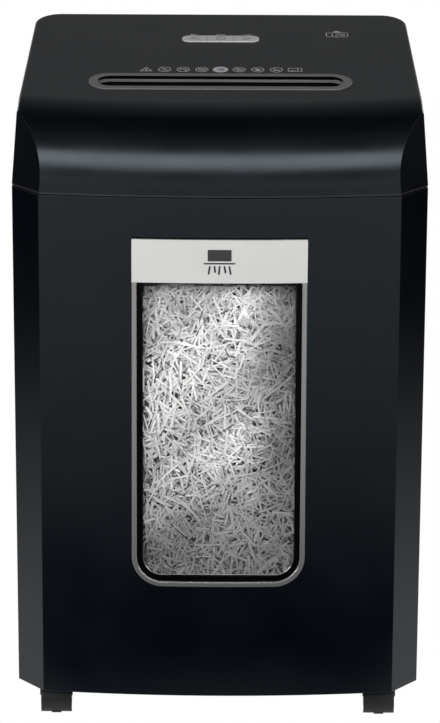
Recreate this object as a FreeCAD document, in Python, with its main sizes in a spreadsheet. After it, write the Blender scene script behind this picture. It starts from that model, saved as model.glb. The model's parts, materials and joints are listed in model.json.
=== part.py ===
import FreeCAD, Part
import math
import os
import re
import Sketcher

# Office paper shredder on casters, in millimetres.  The origin is the middle of the footprint on
# the floor, +X to the user's right, +Y to the back, +Z up.  The cabinet is a moulded shell open
# at the front, where the waste bin slides out behind the front panel.  The cutting head sits on
# top of it: a chassis tub that carries the cutters, the gears and the motor, and a cover.

SIZES = {
    # whole object
    "width": 385, "depth": 292, "cabinet_height": 482, "caster_height": 36, "wall": 2.6,
    "side_draft": 0.3, "rear_inset": 5.5, "rear_corner": 25,
    # plan outline of the front
    "facet_width": 26, "bow": 13.3, "facet_depth": 35.5, "seam_back": 4, "seam_gap": 1,
    # head
    "head_gap": 2, "head_lip": 6.5, "roll_radius": 70, "top_slope": 10.9, "head_draft": 4.2,
    "top_edge": 3, "flange_width": 14, "flange_thick": 4, "rim_thick": 3, "rim_inset": 1.5,
    # window, trim and handle
    "window_width": 162, "window_height": 336, "window_drop": 37.5, "window_corner": 29,
    "trim_width": 4.8, "trim_proud": 1, "trim_thick": 7, "trim_play": 0.15,
    "bezel_width": 5, "bezel_set": 1, "bezel_play": 0.2, "plate_height": 40.6,
    "plate_drop": 1.9, "plate_thick": 3.4, "pane_thick": 2, "pane_set": 5,
    "scoop_drop": 56.5, "scoop_height": 26, "scoop_depth": 13,
    # waste bin and its runners
    "bin_side_gap": 22.5, "bin_set": 7.7, "bin_rear_gap": 28, "bin_rise": 16, "bin_height": 388,
    "bin_wall": 2.5, "bin_corner": 14, "rail_width": 11, "rail_lip": 12, "rail_thick": 2.5,
    "run_gap": 0.3, "base_thick": 4, "base_rim": 6, "shred_top": 10, "shred_foot": 28,
    "shred_floor": 15, "shred_drop": 10, "shred_play": 0.4,
    # screws: between bin and front, and up through the cabinet flange into the cover
    "front_screw_in": 50, "front_screw_low": 48, "front_screw_high": 40, "front_boss": 4.5,
    "front_pilot": 1.55, "head_screw_out": 8.5, "head_screw_first": 50, "head_screw_next": 150,
    "head_screw_hole": 2.2, "head_boss": 4.6, "head_pilot": 2.05, "head_boss_height": 16,
    # feed throat
    "slot_place": 94, "slot_length": 229.4, "slot_depth": 24, "bezel_length": 246,
    "bezel_depth": 39, "bezel_proud": 0.8, "bezel_spigot": 7.4, "throat_gap": 8,
    "throat_wall": 3, "guide_rise": 20, "guide_height": 29,
    # cutters
    "cutter_rise": 47, "shaft_gap": 32, "disc_lap": 2, "disc_thick": 3.4, "disc_pitch": 8,
    "disc_count": 28, "disc_shift": 0.3, "hub_radius": 11.5, "shaft_radius": 8,
    "journal_radius": 6, "bush_radius": 9, "bore_play": 0.05, "block_end": 10, "side_plate": 3,
    "rod_radius": 4, "rod_neck": 2.8, "finger_thick": 3.2,
    # gears
    "cross_teeth": 16, "final_teeth": 40, "second_pinion": 14, "second_teeth": 56,
    "first_pinion": 14, "first_teeth": 60, "motor_teeth": 12, "module_final": 2,
    "module_second": 1.25, "module_first": 1, "second_angle": 10, "first_angle": 0,
    "motor_angle": 150, "gear_play": 0.22, "pin_radius": 4, "gear_start": 3, "cross_wide": 10,
    "final_wide": 10, "second_wide": 8, "first_wide": 6, "gear_step": 2, "gear_cover_out": 36,
    "gear_cover_thick": 3,
    # motor
    "motor_radius": 33, "motor_length": 98, "motor_shaft": 4, "fan_radius": 27, "fan_hub": 9,
    "fan_blade": 1.6, "fan_blades": 7, "cradle_half": 26, "cradle_length": 40,
    # chassis tub
    "tub_side_gap": 24.5, "tub_ahead": 52.3, "tub_rear_gap": 21, "tub_drop": 20, "tub_wall": 3,
    # controls
    "pill_length": 74.6, "pill_depth": 15.6, "pill_place": 201.8, "button_gap": 0.35,
    "button_proud": 0.8, "button_travel": 0.8, "board_drop": 10, "board_thick": 1.6,
    "board_half": 52, "key_pitch": 22, "switch_size": 6, "switch_height": 4, "post_out": 44,
    "post_front": 22, "post_rear": 14,
    # power board and the parts that stand on it
    "power_left": -154, "power_length": 66, "power_front": 28, "power_depth": 84,
    "power_stand": 8, "stand_inset": 4, "coil_radius": 11, "coil_height": 28.4,
    "can_width": 28, "can_depth": 26, "can_height": 24.4,
    # power inlet at the back
    "pocket_width": 92, "pocket_height": 52, "pocket_x": 58, "pocket_rise": 43,
    "pocket_depth": 14, "pocket_play": 0.3, "pocket_wall": 2, "cord_radius": 3.8,
    "gland_radius": 8, "gland_left": 24, "switch_right": 20, "case_half": 14,
    "case_half_high": 10.5, "case_lip": 2, "rocker_width": 21.2, "rocker_half": 7.2,
    "vent_width": 3, "vent_pitch": 9, "vent_count": 14, "vent_first": -150, "vent_half": 14,
    # casters
    "wheel_radius": 15, "wheel_thick": 9, "wheel_edge": 1.4, "wheel_apart": 10,
    "web_thick": 9.2, "web_lift": 2.2, "hood_gap": 0.8, "hood_thick": 1.4, "caster_side_gap": 38.4,
    "caster_set": 47.7, "caster_rear_gap": 44, "caster_trail": 12, "stem_radius": 4,
    "stem_wall": 2.5, "axle_radius": 2.5, "socket_radius": 7, "socket_height": 13,
}

# Places that follow from the sizes, written in the same names.
PLACES = {
    "cabinet_top": "caster_height + cabinet_height",
    "window_high": "cabinet_top - window_drop",
    "window_low": "window_high - window_height",
    "plate_high": "window_high - plate_drop",
    "plate_low": "plate_high - plate_height",
    "scoop_high": "window_high - scoop_drop",
    "scoop_low": "scoop_high - scoop_height",
    "front_y": "-depth/2 + trim_proud",
    "panel_width": "width - 2*facet_width",
    "panel_y": "front_y + bow",
    "bow_radius": "((panel_width/2)^2 + bow^2)/(2*bow)",
    "facet_y": "panel_y + facet_depth",
    "seam_y": "facet_y + seam_back",
    "back_y": "depth/2",
    "rear_half": "width/2 - rear_inset",
    "head_low": "cabinet_top + head_gap",
    "roll_z": "head_low + head_lip",
    "top_y": "front_y + roll_radius*(1 - sin(top_slope))",
    "top_z": "roll_z + roll_radius*cos(top_slope)",
    "slot_y": "panel_y + slot_place",
    "front_axis": "slot_y - shaft_gap/2",
    "rear_axis": "slot_y + shaft_gap/2",
    "second_y": "rear_axis + second_gap*cos(second_angle)",
    "second_z": "cutter_z + second_gap*sin(second_angle)",
    "first_y": "second_y + first_gap*cos(first_angle)",
    "first_z": "second_z + first_gap*sin(first_angle)",
    "motor_y": "first_y + motor_gap*cos(motor_angle)",
    "motor_z": "first_z + motor_gap*sin(motor_angle)",
    "second_gap": "module_final*(final_teeth + second_pinion)/2",
    "first_gap": "module_second*(second_teeth + first_pinion)/2",
    "motor_gap": "module_first*(first_teeth + motor_teeth)/2",
    "disc_radius": "shaft_gap/2 + disc_lap",
    "plate_place": "disc_span/2 + block_end",
    "plate_out": "plate_place + side_plate",
    "comb_y": "disc_radius + 8",
    "rod_low": "cutter_z - 39",
    "gear_cover_x": "plate_out + gear_cover_out",
    "tub_half": "width/2 - tub_side_gap",
    "tub_front": "slot_y - tub_ahead",
    "tub_back": "back_y - tub_rear_gap",
    "tub_floor": "cabinet_top - tub_drop",
    "cutter_z": "tub_floor + cutter_rise",
    "guide_low": "cutter_z + guide_rise",
    "guide_high": "guide_low + guide_height",
    "motor_end": "plate_place",
    "motor_start": "motor_end - motor_length",
    "pill_y": "panel_y + pill_place",
    "pocket_y": "back_y - pocket_depth - 3",
    "pocket_z": "head_low + pocket_rise",
    "gland_x": "pocket_x - gland_left",
    "switch_x": "pocket_x + switch_right",
    "caster_x": "width/2 - caster_side_gap",
    "caster_front": "panel_y + caster_set",
    "caster_back": "back_y - caster_rear_gap",
    "bin_half": "width/2 - bin_side_gap",
    "bin_front": "panel_y + bin_set",
    "bin_back": "back_y - bin_rear_gap",
    "bin_low": "caster_height + bin_rise",
    "bin_high": "bin_low + bin_height",
    "bin_screw_x": "bin_half - front_screw_in",
    "head_screw_x": "tub_half + head_screw_out",
    "window_half": "window_width/2",
    "pane_y": "front_y + pane_set",
    "disc_span": "disc_pitch*disc_count",
}

doc = FreeCAD.newDocument("shredder")
sheet = doc.addObject("Spreadsheet::Sheet", "sizes")
for row, (name, number) in enumerate(SIZES.items(), 1):
    sheet.set("A%d" % row, name)
    sheet.set("B%d" % row, str(number))
    sheet.setAlias("B%d" % row, name)
doc.recompute()

V = FreeCAD.Vector
NODES = []
TURN = {
    "x": FreeCAD.Rotation(V(0, 1, 0), 90),
    "y": FreeCAD.Rotation(V(1, 0, 0), -90),
    "z": FreeCAD.Rotation(),
}
PLANE = {
    "x": FreeCAD.Rotation(90, 0, 90),
    "y": FreeCAD.Rotation(0, 0, 90),
    "z": FreeCAD.Rotation(),
}
ALONG = {"x": V(1, 0, 0), "y": V(0, 1, 0), "z": V(0, 0, 1)}


def full(text):
    """Write every size and place name in an expression out to spreadsheet cells."""
    def swap(match):
        word = match.group()
        if word in SIZES:
            return "sizes." + word
        if word in PLACES:
            return "(" + full(PLACES[word]) + ")"
        return word
    return re.sub(r"[a-z][a-z_]*", swap, str(text))


def value(text):
    """The number that an expression gives now."""
    return float(sheet.evalExpression(full(text)))


def bind(piece, prop, text):
    piece.setExpression(prop, full(text))


def place(piece, x, y, z):
    for axis, text in zip("xyz", (x, y, z)):
        bind(piece, "Placement.Base." + axis, text)


def box(x0, x1, y0, y1, z0, z1):
    """Block between two corners."""
    piece = doc.addObject("Part::Box", "block")
    bind(piece, "Length", "(%s) - (%s)" % (x1, x0))
    bind(piece, "Width", "(%s) - (%s)" % (y1, y0))
    bind(piece, "Height", "(%s) - (%s)" % (z1, z0))
    place(piece, x0, y0, z0)
    return piece


def rod(axis, radius, start, end, a, b):
    """Round bar along an axis; a and b are its centre on the other two axes, in XYZ order."""
    piece = doc.addObject("Part::Cylinder", "rod")
    piece.Placement.Rotation = TURN[axis]
    bind(piece, "Radius", radius)
    bind(piece, "Height", "(%s) - (%s)" % (end, start))
    spot = {"x": (start, a, b), "y": (a, start, b), "z": (a, b, start)}[axis]
    place(piece, *spot)
    return piece


def outline(points, plane="z"):
    """Closed polygon sketch whose corners are bound to the sheet."""
    sketch = doc.addObject("Sketcher::SketchObject", "outline")
    spots = [V(value(u), value(v), 0) for u, v in points]
    for i, spot in enumerate(spots):
        sketch.addGeometry(Part.LineSegment(spot, spots[(i + 1) % len(spots)]))
    for i in range(len(spots)):
        sketch.addConstraint(Sketcher.Constraint("Coincident", i, 2, (i + 1) % len(spots), 1))
    for i, pair in enumerate(points):
        for kind, text, now in zip(("DistanceX", "DistanceY"), pair, spots[i]):
            index = sketch.addConstraint(Sketcher.Constraint(kind, -1, 1, i, 1, now))
            bind(sketch, "Constraints[%d]" % index, text)
    sketch.Placement.Rotation = PLANE[plane]
    return sketch


def extrude(sketch, axis, start, end, taper=None):
    piece = doc.addObject("Part::Extrusion", "prism")
    piece.Base = sketch
    piece.DirMode = "Custom"
    piece.Dir = ALONG[axis]
    piece.Solid = True
    bind(piece, "LengthFwd", "(%s) - (%s)" % (end, start))
    bind(sketch, "Placement.Base." + axis, start)
    if taper:
        bind(piece, "TaperAngle", taper)
    return piece


def prism(axis, points, start, end):
    """Bar of constant polygon section; points are on the other two axes, in XYZ order."""
    return extrude(outline(points, axis), axis, start, end)


def join(*pieces):
    piece = doc.addObject("Part::MultiFuse", "joined")
    piece.Shapes = list(pieces)
    piece.Refine = True
    return piece


def meet(*pieces):
    piece = doc.addObject("Part::MultiCommon", "met")
    piece.Shapes = list(pieces)
    return piece


def cut(base, *tools):
    piece = doc.addObject("Part::Cut", "cut")
    piece.Base = base
    piece.Tool = tools[0] if len(tools) == 1 else join(*tools)
    return piece


def group(*pieces):
    """Separate solids that share one node."""
    piece = doc.addObject("Part::Compound", "set")
    piece.Links = list(pieces)
    return piece


def mirrored(source):
    """Copy on the other side of the middle plane."""
    piece = doc.addObject("Part::Mirroring", "mirrored")
    piece.Source = source
    piece.Normal = V(1, 0, 0)
    return piece


def both_sides(source):
    return [source, mirrored(source)]


def soften(base, radius, chosen):
    """Round the edges that the test picks out."""
    doc.recompute()
    piece = doc.addObject("Part::Fillet", "rounded")
    piece.Base = base
    size = value(radius)
    edges = enumerate(base.Shape.Edges, 1)
    piece.Edges = [(i, size, size) for i, edge in edges if chosen(edge)]
    return piece


def runs_along(axis):
    """Test for straight edges parallel to an axis."""
    def test(edge):
        if len(edge.Vertexes) < 2:
            return False
        ends = edge.Vertexes[1].Point - edge.Vertexes[0].Point
        return ends.Length > 0.01 and abs(ends.normalize().dot(ALONG[axis])) > 0.999
    return test


def node(name, piece):
    piece.Label = name
    NODES.append(piece)
    return piece


# ---- shapes that the housings share -------------------------------------------------------

def plan_sketch():
    """Plan of the cabinet: bowed front panel, two corner facets, sides that close to the back."""
    corners = [
        ("panel_width/2", "panel_y"), ("width/2", "facet_y"), ("rear_half", "back_y + 10"),
        ("-rear_half", "back_y + 10"), ("-width/2", "facet_y"), ("-panel_width/2", "panel_y"),
    ]
    sketch = doc.addObject("Sketcher::SketchObject", "plan")
    spots = [V(value(u), value(v), 0) for u, v in corners]
    for first, second in zip(spots, spots[1:]):
        sketch.addGeometry(Part.LineSegment(first, second))
    bow_top = V(0, value("front_y"), 0)
    sketch.addGeometry(Part.Arc(spots[-1], bow_top, spots[0]))
    for i in range(4):
        sketch.addConstraint(Sketcher.Constraint("Coincident", i, 2, i + 1, 1))
    sketch.addConstraint(Sketcher.Constraint("Coincident", 4, 2, 5, 1))
    sketch.addConstraint(Sketcher.Constraint("Coincident", 5, 2, 0, 1))
    ends = [(0, 1), (1, 1), (2, 1), (3, 1), (4, 1), (4, 2)]
    for (line, end), pair, spot in zip(ends, corners, spots):
        for kind, text, now in zip(("DistanceX", "DistanceY"), pair, spot):
            index = sketch.addConstraint(Sketcher.Constraint(kind, -1, 1, line, end, now))
            bind(sketch, "Constraints[%d]" % index, text)
    radius = Sketcher.Constraint("Radius", 5, value("bow_radius"))
    bind(sketch, "Constraints[%d]" % sketch.addConstraint(radius), "bow_radius")
    return sketch


def inset(sketch, distance):
    """The same outline moved inwards, or outwards where the distance is negative."""
    ring = doc.addObject("Part::Offset2D", "inset")
    ring.Source = sketch
    ring.Join = 2
    bind(ring, "Value", "-(%s)" % distance)
    return ring


def rear_rounded(form, distance):
    """Round the two upright corners at the back."""
    rear = value("back_y - 30")
    return soften(form, "rear_corner - (%s)" % distance,
                  lambda edge: edge.BoundBox.YMin > rear and edge.BoundBox.ZLength > 1
                  and edge.BoundBox.XLength < 15)


def cabinet_form(distance, flat_back=True):
    """Solid inside the cabinet's outline, closing in towards the floor, with a flat back."""
    plan = plan_sketch()
    bind(plan, "Placement.Base.z", "cabinet_top")
    face = plan if distance == "0" else inset(plan, distance)
    form = doc.addObject("Part::Extrusion", "form")
    form.Base = face
    form.DirMode = "Custom"
    form.Dir = V(0, 0, -1)
    form.Solid = True
    bind(form, "LengthFwd", "cabinet_top - caster_height")
    bind(form, "TaperAngle", "-side_draft")
    if not flat_back:
        return form
    limit = box("-width", "width", "-depth", "back_y - (%s)" % distance, "0", "cabinet_top")
    return rear_rounded(meet(form, limit), distance)


def head_form(distance):
    """Solid inside the head's outline: a roll over the front and a flat sloping top."""
    run = "facet_depth"
    lean = "(width - panel_width)/2"
    corners = [
        ("panel_width/2 - " + lean, "panel_y - " + run), ("width/2", "facet_y"),
        ("rear_half", "back_y"), ("-rear_half", "back_y"), ("-width/2", "facet_y"),
        ("-panel_width/2 + " + lean, "panel_y - " + run),
    ]
    plan = outline(corners)
    bind(plan, "Placement.Base.z", "head_low")
    face = plan if distance == "0" else inset(plan, distance)
    column = doc.addObject("Part::Extrusion", "column")
    column.Base = face
    column.DirMode = "Custom"
    column.Dir = V(0, 0, 1)
    column.Solid = True
    bind(column, "LengthFwd", "roll_radius*2 + head_lip")
    bind(column, "TaperAngle", "-head_draft")
    column = rear_rounded(column, distance)
    slope = math.radians(value("top_slope"))
    radius = value("roll_radius - (%s)" % distance)
    front = value("front_y + (%s)" % distance)
    middle = V(0, value("front_y + roll_radius"), value("roll_z"))
    low = V(0, front, value("head_low - 5"))
    lip = V(0, front, value("roll_z"))
    half = V(0, middle.y - radius * math.cos(math.pi / 4), middle.z + radius * math.sin(math.pi / 4))
    tangent = V(0, middle.y - radius * math.sin(slope), middle.z + radius * math.cos(slope))
    far = V(0, front + value("bow_radius"), 0)
    far.z = tangent.z + (far.y - tangent.y) * math.tan(slope)
    normal = V(0, -math.sin(slope), math.cos(slope))
    base = far - normal * (far.z - low.z) * 1.2
    side = Part.Wire([
        Part.makeLine(low, lip), Part.Arc(lip, half, tangent).toShape(),
        Part.makeLine(tangent, far), Part.makeLine(far, base), Part.makeLine(base, low),
    ])
    roll = doc.addObject("Part::Feature", "roll")
    roll.Shape = Part.Face(side).revolve(far, normal, 40)
    roll.Shape = Part.Face(side).revolve(far, normal, -40).fuse(roll.Shape).removeSplitter()
    return meet(column, roll)


def window_form(distance, y0, y1, high="window_high"):
    """Bar through the window: square at the top, round at the two lower corners."""
    bar = box("-window_half + (%s)" % distance, "window_half - (%s)" % distance, y0, y1,
              "window_low + (%s)" % distance, high)
    low = value("window_low + (%s)" % distance) + 1
    return soften(bar, "window_corner - (%s)" % distance,
                  lambda edge: edge.BoundBox.ZMax < low and edge.BoundBox.YLength > 1)


def on_top(piece, u, v, w):
    """Stand a piece on the sloping top: v runs up the slope, w out of it."""
    piece.Placement.Rotation = FreeCAD.Rotation(V(1, 0, 0), value("top_slope"))
    place(piece, u, "top_y + (%s)*cos(top_slope) - (%s)*sin(top_slope)" % (v, w),
          "top_z + (%s)*sin(top_slope) + (%s)*cos(top_slope)" % (v, w))
    return piece


def top_box(u0, u1, v0, v1, w0, w1):
    piece = doc.addObject("Part::Box", "block")
    bind(piece, "Length", "(%s) - (%s)" % (u1, u0))
    bind(piece, "Width", "(%s) - (%s)" % (v1, v0))
    bind(piece, "Height", "(%s) - (%s)" % (w1, w0))
    return on_top(piece, u0, v0, w0)


def top_rod(radius, u, v, w0, w1):
    piece = doc.addObject("Part::Cylinder", "rod")
    bind(piece, "Radius", radius)
    bind(piece, "Height", "(%s) - (%s)" % (w1, w0))
    return on_top(piece, u, v, w0)


def stadium(length, depth, v, w0, w1):
    """Slot shape with round ends on the sloping top, centred across it."""
    reach = "(%s)/2 - (%s)/2" % (length, depth)
    return join(
        top_box("-(%s)" % reach, reach, "%s - (%s)/2" % (v, depth), "%s + (%s)/2" % (v, depth), w0, w1),
        top_rod("(%s)/2" % depth, reach, v, w0, w1),
        top_rod("(%s)/2" % depth, "-(%s)" % reach, v, w0, w1),
    )


SLOT_V = "(slot_y - top_y)/cos(top_slope)"
PILL_V = "(pill_y - top_y)/cos(top_slope)"

# ---- cabinet --------------------------------------------------------------------------------

# Three moulded walls with a screwed-on flange at the top and a return beside the drawer.
shell = cut(cabinet_form("0"), cabinet_form("wall"))
walls = meet(shell, box("-width", "width", "seam_y", "back_y", "caster_height", "cabinet_top"))
flange = meet(
    cut(cabinet_form("0"), cabinet_form("flange_width + wall")),
    box("-width", "width", "seam_y", "back_y", "cabinet_top - flange_thick", "cabinet_top"))
front_return = meet(
    cut(cabinet_form("0"), cabinet_form("wall + 8")),
    box("-width", "width", "seam_y", "seam_y + wall", "caster_height", "cabinet_top"))
SCREW_X = "head_screw_x"
screw_spots = [(x, "seam_y + " + y) for x in ("-" + SCREW_X, SCREW_X)
               for y in ("head_screw_first", "head_screw_next")]
screw_holes = [rod("z", "head_screw_hole", "cabinet_top - 10", "cabinet_top + 1", x, y)
               for x, y in screw_spots]
shell = join(walls, flange, front_return)
node("cabinet_shell", cut(shell, *screw_holes))

# Floor pan between the walls, with a socket for each caster stem.
CASTERS = {
    "fl": ("-caster_x", "caster_front", 1), "fr": ("caster_x", "caster_front", 1),
    "rl": ("-caster_x", "caster_back", -1), "rr": ("caster_x", "caster_back", -1),
}


def stem_y(contact, way):
    """The stem stands behind a front wheel and ahead of a rear wheel."""
    return "%s + %d*caster_trail" % (contact, way)


pan_room = meet(cabinet_form("wall + 0.2"),
                box("-width", "width", "seam_y + wall + 0.2", "back_y - wall - 0.2",
                    "caster_height", "caster_height + base_rim"))
hollow = meet(cabinet_form("wall + 3.2"),
              box("-width", "width", "seam_y + wall + 3.2", "back_y - wall - 3.2",
                  "caster_height - 1", "caster_height + base_rim - base_thick"))
socket_seats = [rod("z", "socket_radius", "caster_height", "caster_height + base_rim + 1", x, stem_y(y, way))
                for x, y, way in CASTERS.values()]
node("base_plate", cut(cut(pan_room, hollow), *socket_seats))
sockets = []
for x, y, way in CASTERS.values():
    stem = stem_y(y, way)
    sleeve = rod("z", "socket_radius", "caster_height", "caster_height + socket_height", x, stem)
    bore = rod("z", "stem_radius + bore_play", "caster_height - 1",
               "caster_height + socket_height - 1.5", x, stem)
    sockets.append(cut(sleeve, bore))
node("caster_sockets", group(*sockets))

# Two angle runners that carry the bin.
FLOOR = "caster_height + base_rim"
runner = join(
    box("bin_half + run_gap + rail_thick - rail_width", "bin_half + run_gap + rail_thick", "seam_y + 8",
        "back_y - 12", FLOOR, "bin_low - run_gap"),
    box("bin_half + run_gap", "bin_half + run_gap + rail_thick", "seam_y + 8", "back_y - 12", FLOOR,
        "bin_low + rail_lip"))
node("drawer_rails", group(*both_sides(runner)))

# ---- pull-out front and bin -----------------------------------------------------------------

front_space = ("-width", "width", "-depth", "seam_y - seam_gap")
TOP_GAP = "cabinet_top - 0.6"
front_outer = meet(cabinet_form("0", False), box(*front_space, "caster_height", TOP_GAP))
front_inner = meet(cabinet_form("wall", False), box("-width", "width", "-depth", "seam_y + 5",
                                             "caster_height + wall", TOP_GAP + " - wall"))
front_screws = [(x, z) for x in ("-bin_screw_x", "bin_screw_x")
                for z in ("bin_low + front_screw_low", "bin_high - front_screw_high")]
bosses = [rod("y", "front_boss", "bin_front - 14", "bin_front - 0.3", x, z) for x, z in front_screws]
boss_holes = [rod("y", "front_pilot", "bin_front - 11", "bin_front", x, z) for x, z in front_screws]
opening = window_form("0", "-depth", "bin_front")
front_shell = cut(front_outer, front_inner, opening)
bosses = meet(join(*bosses), cabinet_form("wall/2", False))
node("drawer_front", cut(join(front_shell, bosses), *boss_holes))

# Bright trim round three sides of the window.
trim_bar = cut(window_form("trim_play", "-depth", "bin_front", "plate_low - trim_play"),
               window_form("trim_width", "-depth", "bin_front", "plate_low + 5"))
trim = meet(trim_bar, cabinet_form("-trim_proud", False))
node("window_trim", cut(trim, cabinet_form("trim_thick", False)))

# Black frame that lines the window and holds the pane.
RING = "trim_width + bezel_width + bezel_play"
behind_trim = meet(cut(window_form("0.3", "-depth", "bin_front - 0.3", "window_high - 0.3"),
                       window_form(RING, "-depth - 1", "bin_front + 1", "window_high - 3")),
                   cabinet_form("trim_thick + bezel_play", False))
beside_trim = meet(cut(window_form("trim_width + bezel_play", "-depth", "bin_front - 0.3", "plate_low - 0.3"),
                       window_form(RING, "-depth - 1", "bin_front + 1", "plate_low + 5")),
                   cabinet_form("bezel_set", False))
node("window_bezel", join(behind_trim, beside_trim))

# Clear pane, set back behind the handle plate to leave room for the fingers.
pane_line = [
    ("pane_y", "window_low + 2"), ("pane_y", "scoop_low"), ("pane_y + scoop_depth", "scoop_high"),
    ("pane_y + scoop_depth", "window_high - 3.3"),
    ("pane_y + scoop_depth + pane_thick", "window_high - 3.3"),
    ("pane_y + scoop_depth + pane_thick", "scoop_high"), ("pane_y + pane_thick", "scoop_low"),
    ("pane_y + pane_thick", "window_low + 2"),
]
pane_bar = prism("x", pane_line, "-window_half", "window_half")
node("window_pane", meet(pane_bar, window_form(RING + " + trim_play", "-depth", "bin_front", "window_high")))

# Handle plate bridging the top of the window.
plate_bar = box("-window_half + trim_play", "window_half - trim_play", "-depth", "bin_front", "plate_low",
                "plate_high")
plate = cut(meet(plate_bar, cabinet_form("-trim_proud", False)),
            cabinet_form("plate_thick - trim_proud", False))
lug = box("window_half - trim_width - bezel_width + 0.4", "window_half - 0.8",
          "front_y + plate_thick", "front_y + trim_thick + 2.2", "plate_low + 4", "plate_high - 4")
node("handle_plate", join(plate, *both_sides(lug)))

# Open-topped bin with a window of its own.
tub = box("-bin_half", "bin_half", "bin_front", "bin_back", "bin_low", "bin_high")
tub = soften(tub, "bin_corner", runs_along("z"))
tub_room = box("-bin_half + bin_wall", "bin_half - bin_wall", "bin_front + bin_wall",
               "bin_back - bin_wall", "bin_low + bin_wall", "bin_high + 1")
tub_room = soften(tub_room, "bin_corner - bin_wall", runs_along("z"))
tub_window = window_form("trim_width", "bin_front - 1", "bin_front + bin_wall + 1", "bin_high - 8")
screw_ways = [rod("y", "front_pilot + 0.15", "bin_front - 1", "bin_front + bin_wall + 1", x, z)
              for x, z in front_screws]
node("bin_tub", cut(tub, tub_room, tub_window, *screw_ways))

# Shredded paper leaning against the window, with a loose layer on the bin's floor.
IN_BIN = "bin_half - bin_wall - shred_play"
HEAP = "bin_front + bin_wall + 3"
heap_line = [
    (HEAP, "bin_low + bin_wall + shred_play"), (HEAP, "bin_high - shred_drop"),
    (HEAP + " + shred_top", "bin_high - shred_drop"), (HEAP + " + shred_foot", "bin_low + 40"),
    ("bin_back - bin_wall - 1.5", "bin_low + bin_wall + shred_floor"),
    ("bin_back - bin_wall - 1.5", "bin_low + bin_wall + shred_play"),
]
heap = prism("x", heap_line, "-(" + IN_BIN + " - bin_corner/2)", IN_BIN + " - bin_corner/2")
CLEAR = RING + " + 0.6"
bulge_line = [
    ("pane_y + pane_thick + 0.5", "window_low + 5"), ("pane_y + pane_thick + 0.5", "scoop_low - 4"),
    ("pane_y + scoop_depth + pane_thick + 0.5", "scoop_high"),
    ("pane_y + scoop_depth + pane_thick + 0.5", "bin_high - shred_drop"),
    (HEAP + " + 1", "bin_high - shred_drop"),
    (HEAP + " + 1", "window_low + 5"),
]
bulge = meet(prism("x", bulge_line, "-window_half", "window_half"),
             window_form(CLEAR, "-depth", "0", "bin_high"))
node("paper_shreds", join(heap, bulge))

screws = []
for x, z in front_screws:
    screws.append(join(
        rod("y", "front_pilot - bore_play", "bin_front - 10", "bin_front + bin_wall + 0.5", x, z),
        rod("y", "3.6", "bin_front + bin_wall", "bin_front + bin_wall + 2.2", x, z)))
node("drawer_screws", group(*screws))

# ---- head: chassis and cover ----------------------------------------------------------------

def plan_slab(distance, z0, z1):
    """Flat plate of the cabinet's plan, cut square at the back."""
    plan = plan_sketch()
    bind(plan, "Placement.Base.z", z0)
    plate = doc.addObject("Part::Extrusion", "slab")
    plate.Base = inset(plan, distance)
    plate.DirMode = "Custom"
    plate.Dir = V(0, 0, 1)
    plate.Solid = True
    bind(plate, "LengthFwd", "(%s) - (%s)" % (z1, z0))
    limit = box("-width", "width", "-depth", "back_y - (%s)" % distance, z0, z1)
    return rear_rounded(meet(plate, limit), distance)


# The chassis rim shows as the dark line under the cover; the tub below it holds the cutters.
rim = join(plan_slab("rim_inset", "cabinet_top", "head_low"),
           plan_slab("wall + 0.6", "head_low", "head_low + rim_thick"))
tub = box("-tub_half", "tub_half", "tub_front", "tub_back", "tub_floor - tub_wall", "head_low")
tub_room = box("-tub_half + tub_wall", "tub_half - tub_wall", "tub_front + tub_wall",
               "tub_back - tub_wall", "tub_floor", "head_low + rim_thick + 1")
outlet = box("-disc_span/2 - 3", "disc_span/2 + 3", "front_axis - 14", "rear_axis + 14",
             "tub_floor - tub_wall - 1", "tub_floor + 1")
rim_holes = [rod("z", "head_screw_hole", "cabinet_top - 1", "head_low + rim_thick + 1", x, y)
             for x, y in screw_spots]
stands = [rod("z", "3.5", "tub_floor - 1", "tub_floor + power_stand", x, y)
          for x in ("power_left + stand_inset", "power_left + power_length - stand_inset")
          for y in ("power_front + stand_inset", "power_front + power_depth - stand_inset")]
node("head_chassis", join(cut(join(rim, tub), tub_room, outlet, *rim_holes), *stands))

# Cover: outer form less the same form one wall smaller, with its openings and bosses.
HEAD_TOP = "top_z + 60"
outer = meet(head_form("0"), box("-width", "width", "-depth", "back_y", "head_low", HEAD_TOP))
rear_edge = value("roll_z + roll_radius*0.85")
outer = soften(outer, "top_edge", lambda edge: edge.BoundBox.ZMin > rear_edge
               and edge.BoundBox.YMax > 100)
inner = meet(head_form("wall"), box("-width", "width", "-depth", "back_y", "head_low - 3", HEAD_TOP))
BOSS_LOW = "head_low + rim_thick"
BOSS_HIGH = BOSS_LOW + " + head_boss_height"
bosses = [rod("z", "head_boss", BOSS_LOW, BOSS_HIGH, x, y) for x, y in screw_spots]
boss_bores = [rod("z", "head_pilot", "head_low", BOSS_HIGH + " - 2", x, y) for x, y in screw_spots]
board_posts = [top_rod("3", side + "post_out", PILL_V + way, "-board_drop", "-wall/2")
               for side in ("-", "") for way in (" - post_front", " + post_rear")]
slot_hole = stadium("slot_length + bezel_spigot + 0.6", "slot_depth + bezel_spigot + 0.6", SLOT_V,
                    "-20", "20")
pill_hole = stadium("pill_length", "pill_depth", PILL_V, "-20", "20")
pocket_hole = box("pocket_x - pocket_width/2", "pocket_x + pocket_width/2", "pocket_y",
                  "back_y + 5", "pocket_z - pocket_height/2", "pocket_z + pocket_height/2")
vents = [box("vent_first + %d*vent_pitch - vent_width/2" % i,
             "vent_first + %d*vent_pitch + vent_width/2" % i, "back_y - 20", "back_y + 5",
             "pocket_z - vent_half", "pocket_z + vent_half") for i in range(int(value("vent_count")))]
ribs = []
for x, y in screw_spots:
    ends = ("-width/2", x) if x.startswith("-") else (x, "width/2")
    ribs.append(box(*ends, y + " - 1.5", y + " + 1.5", BOSS_LOW, BOSS_HIGH))
ribs = meet(join(*ribs), head_form("wall/2"))
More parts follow.
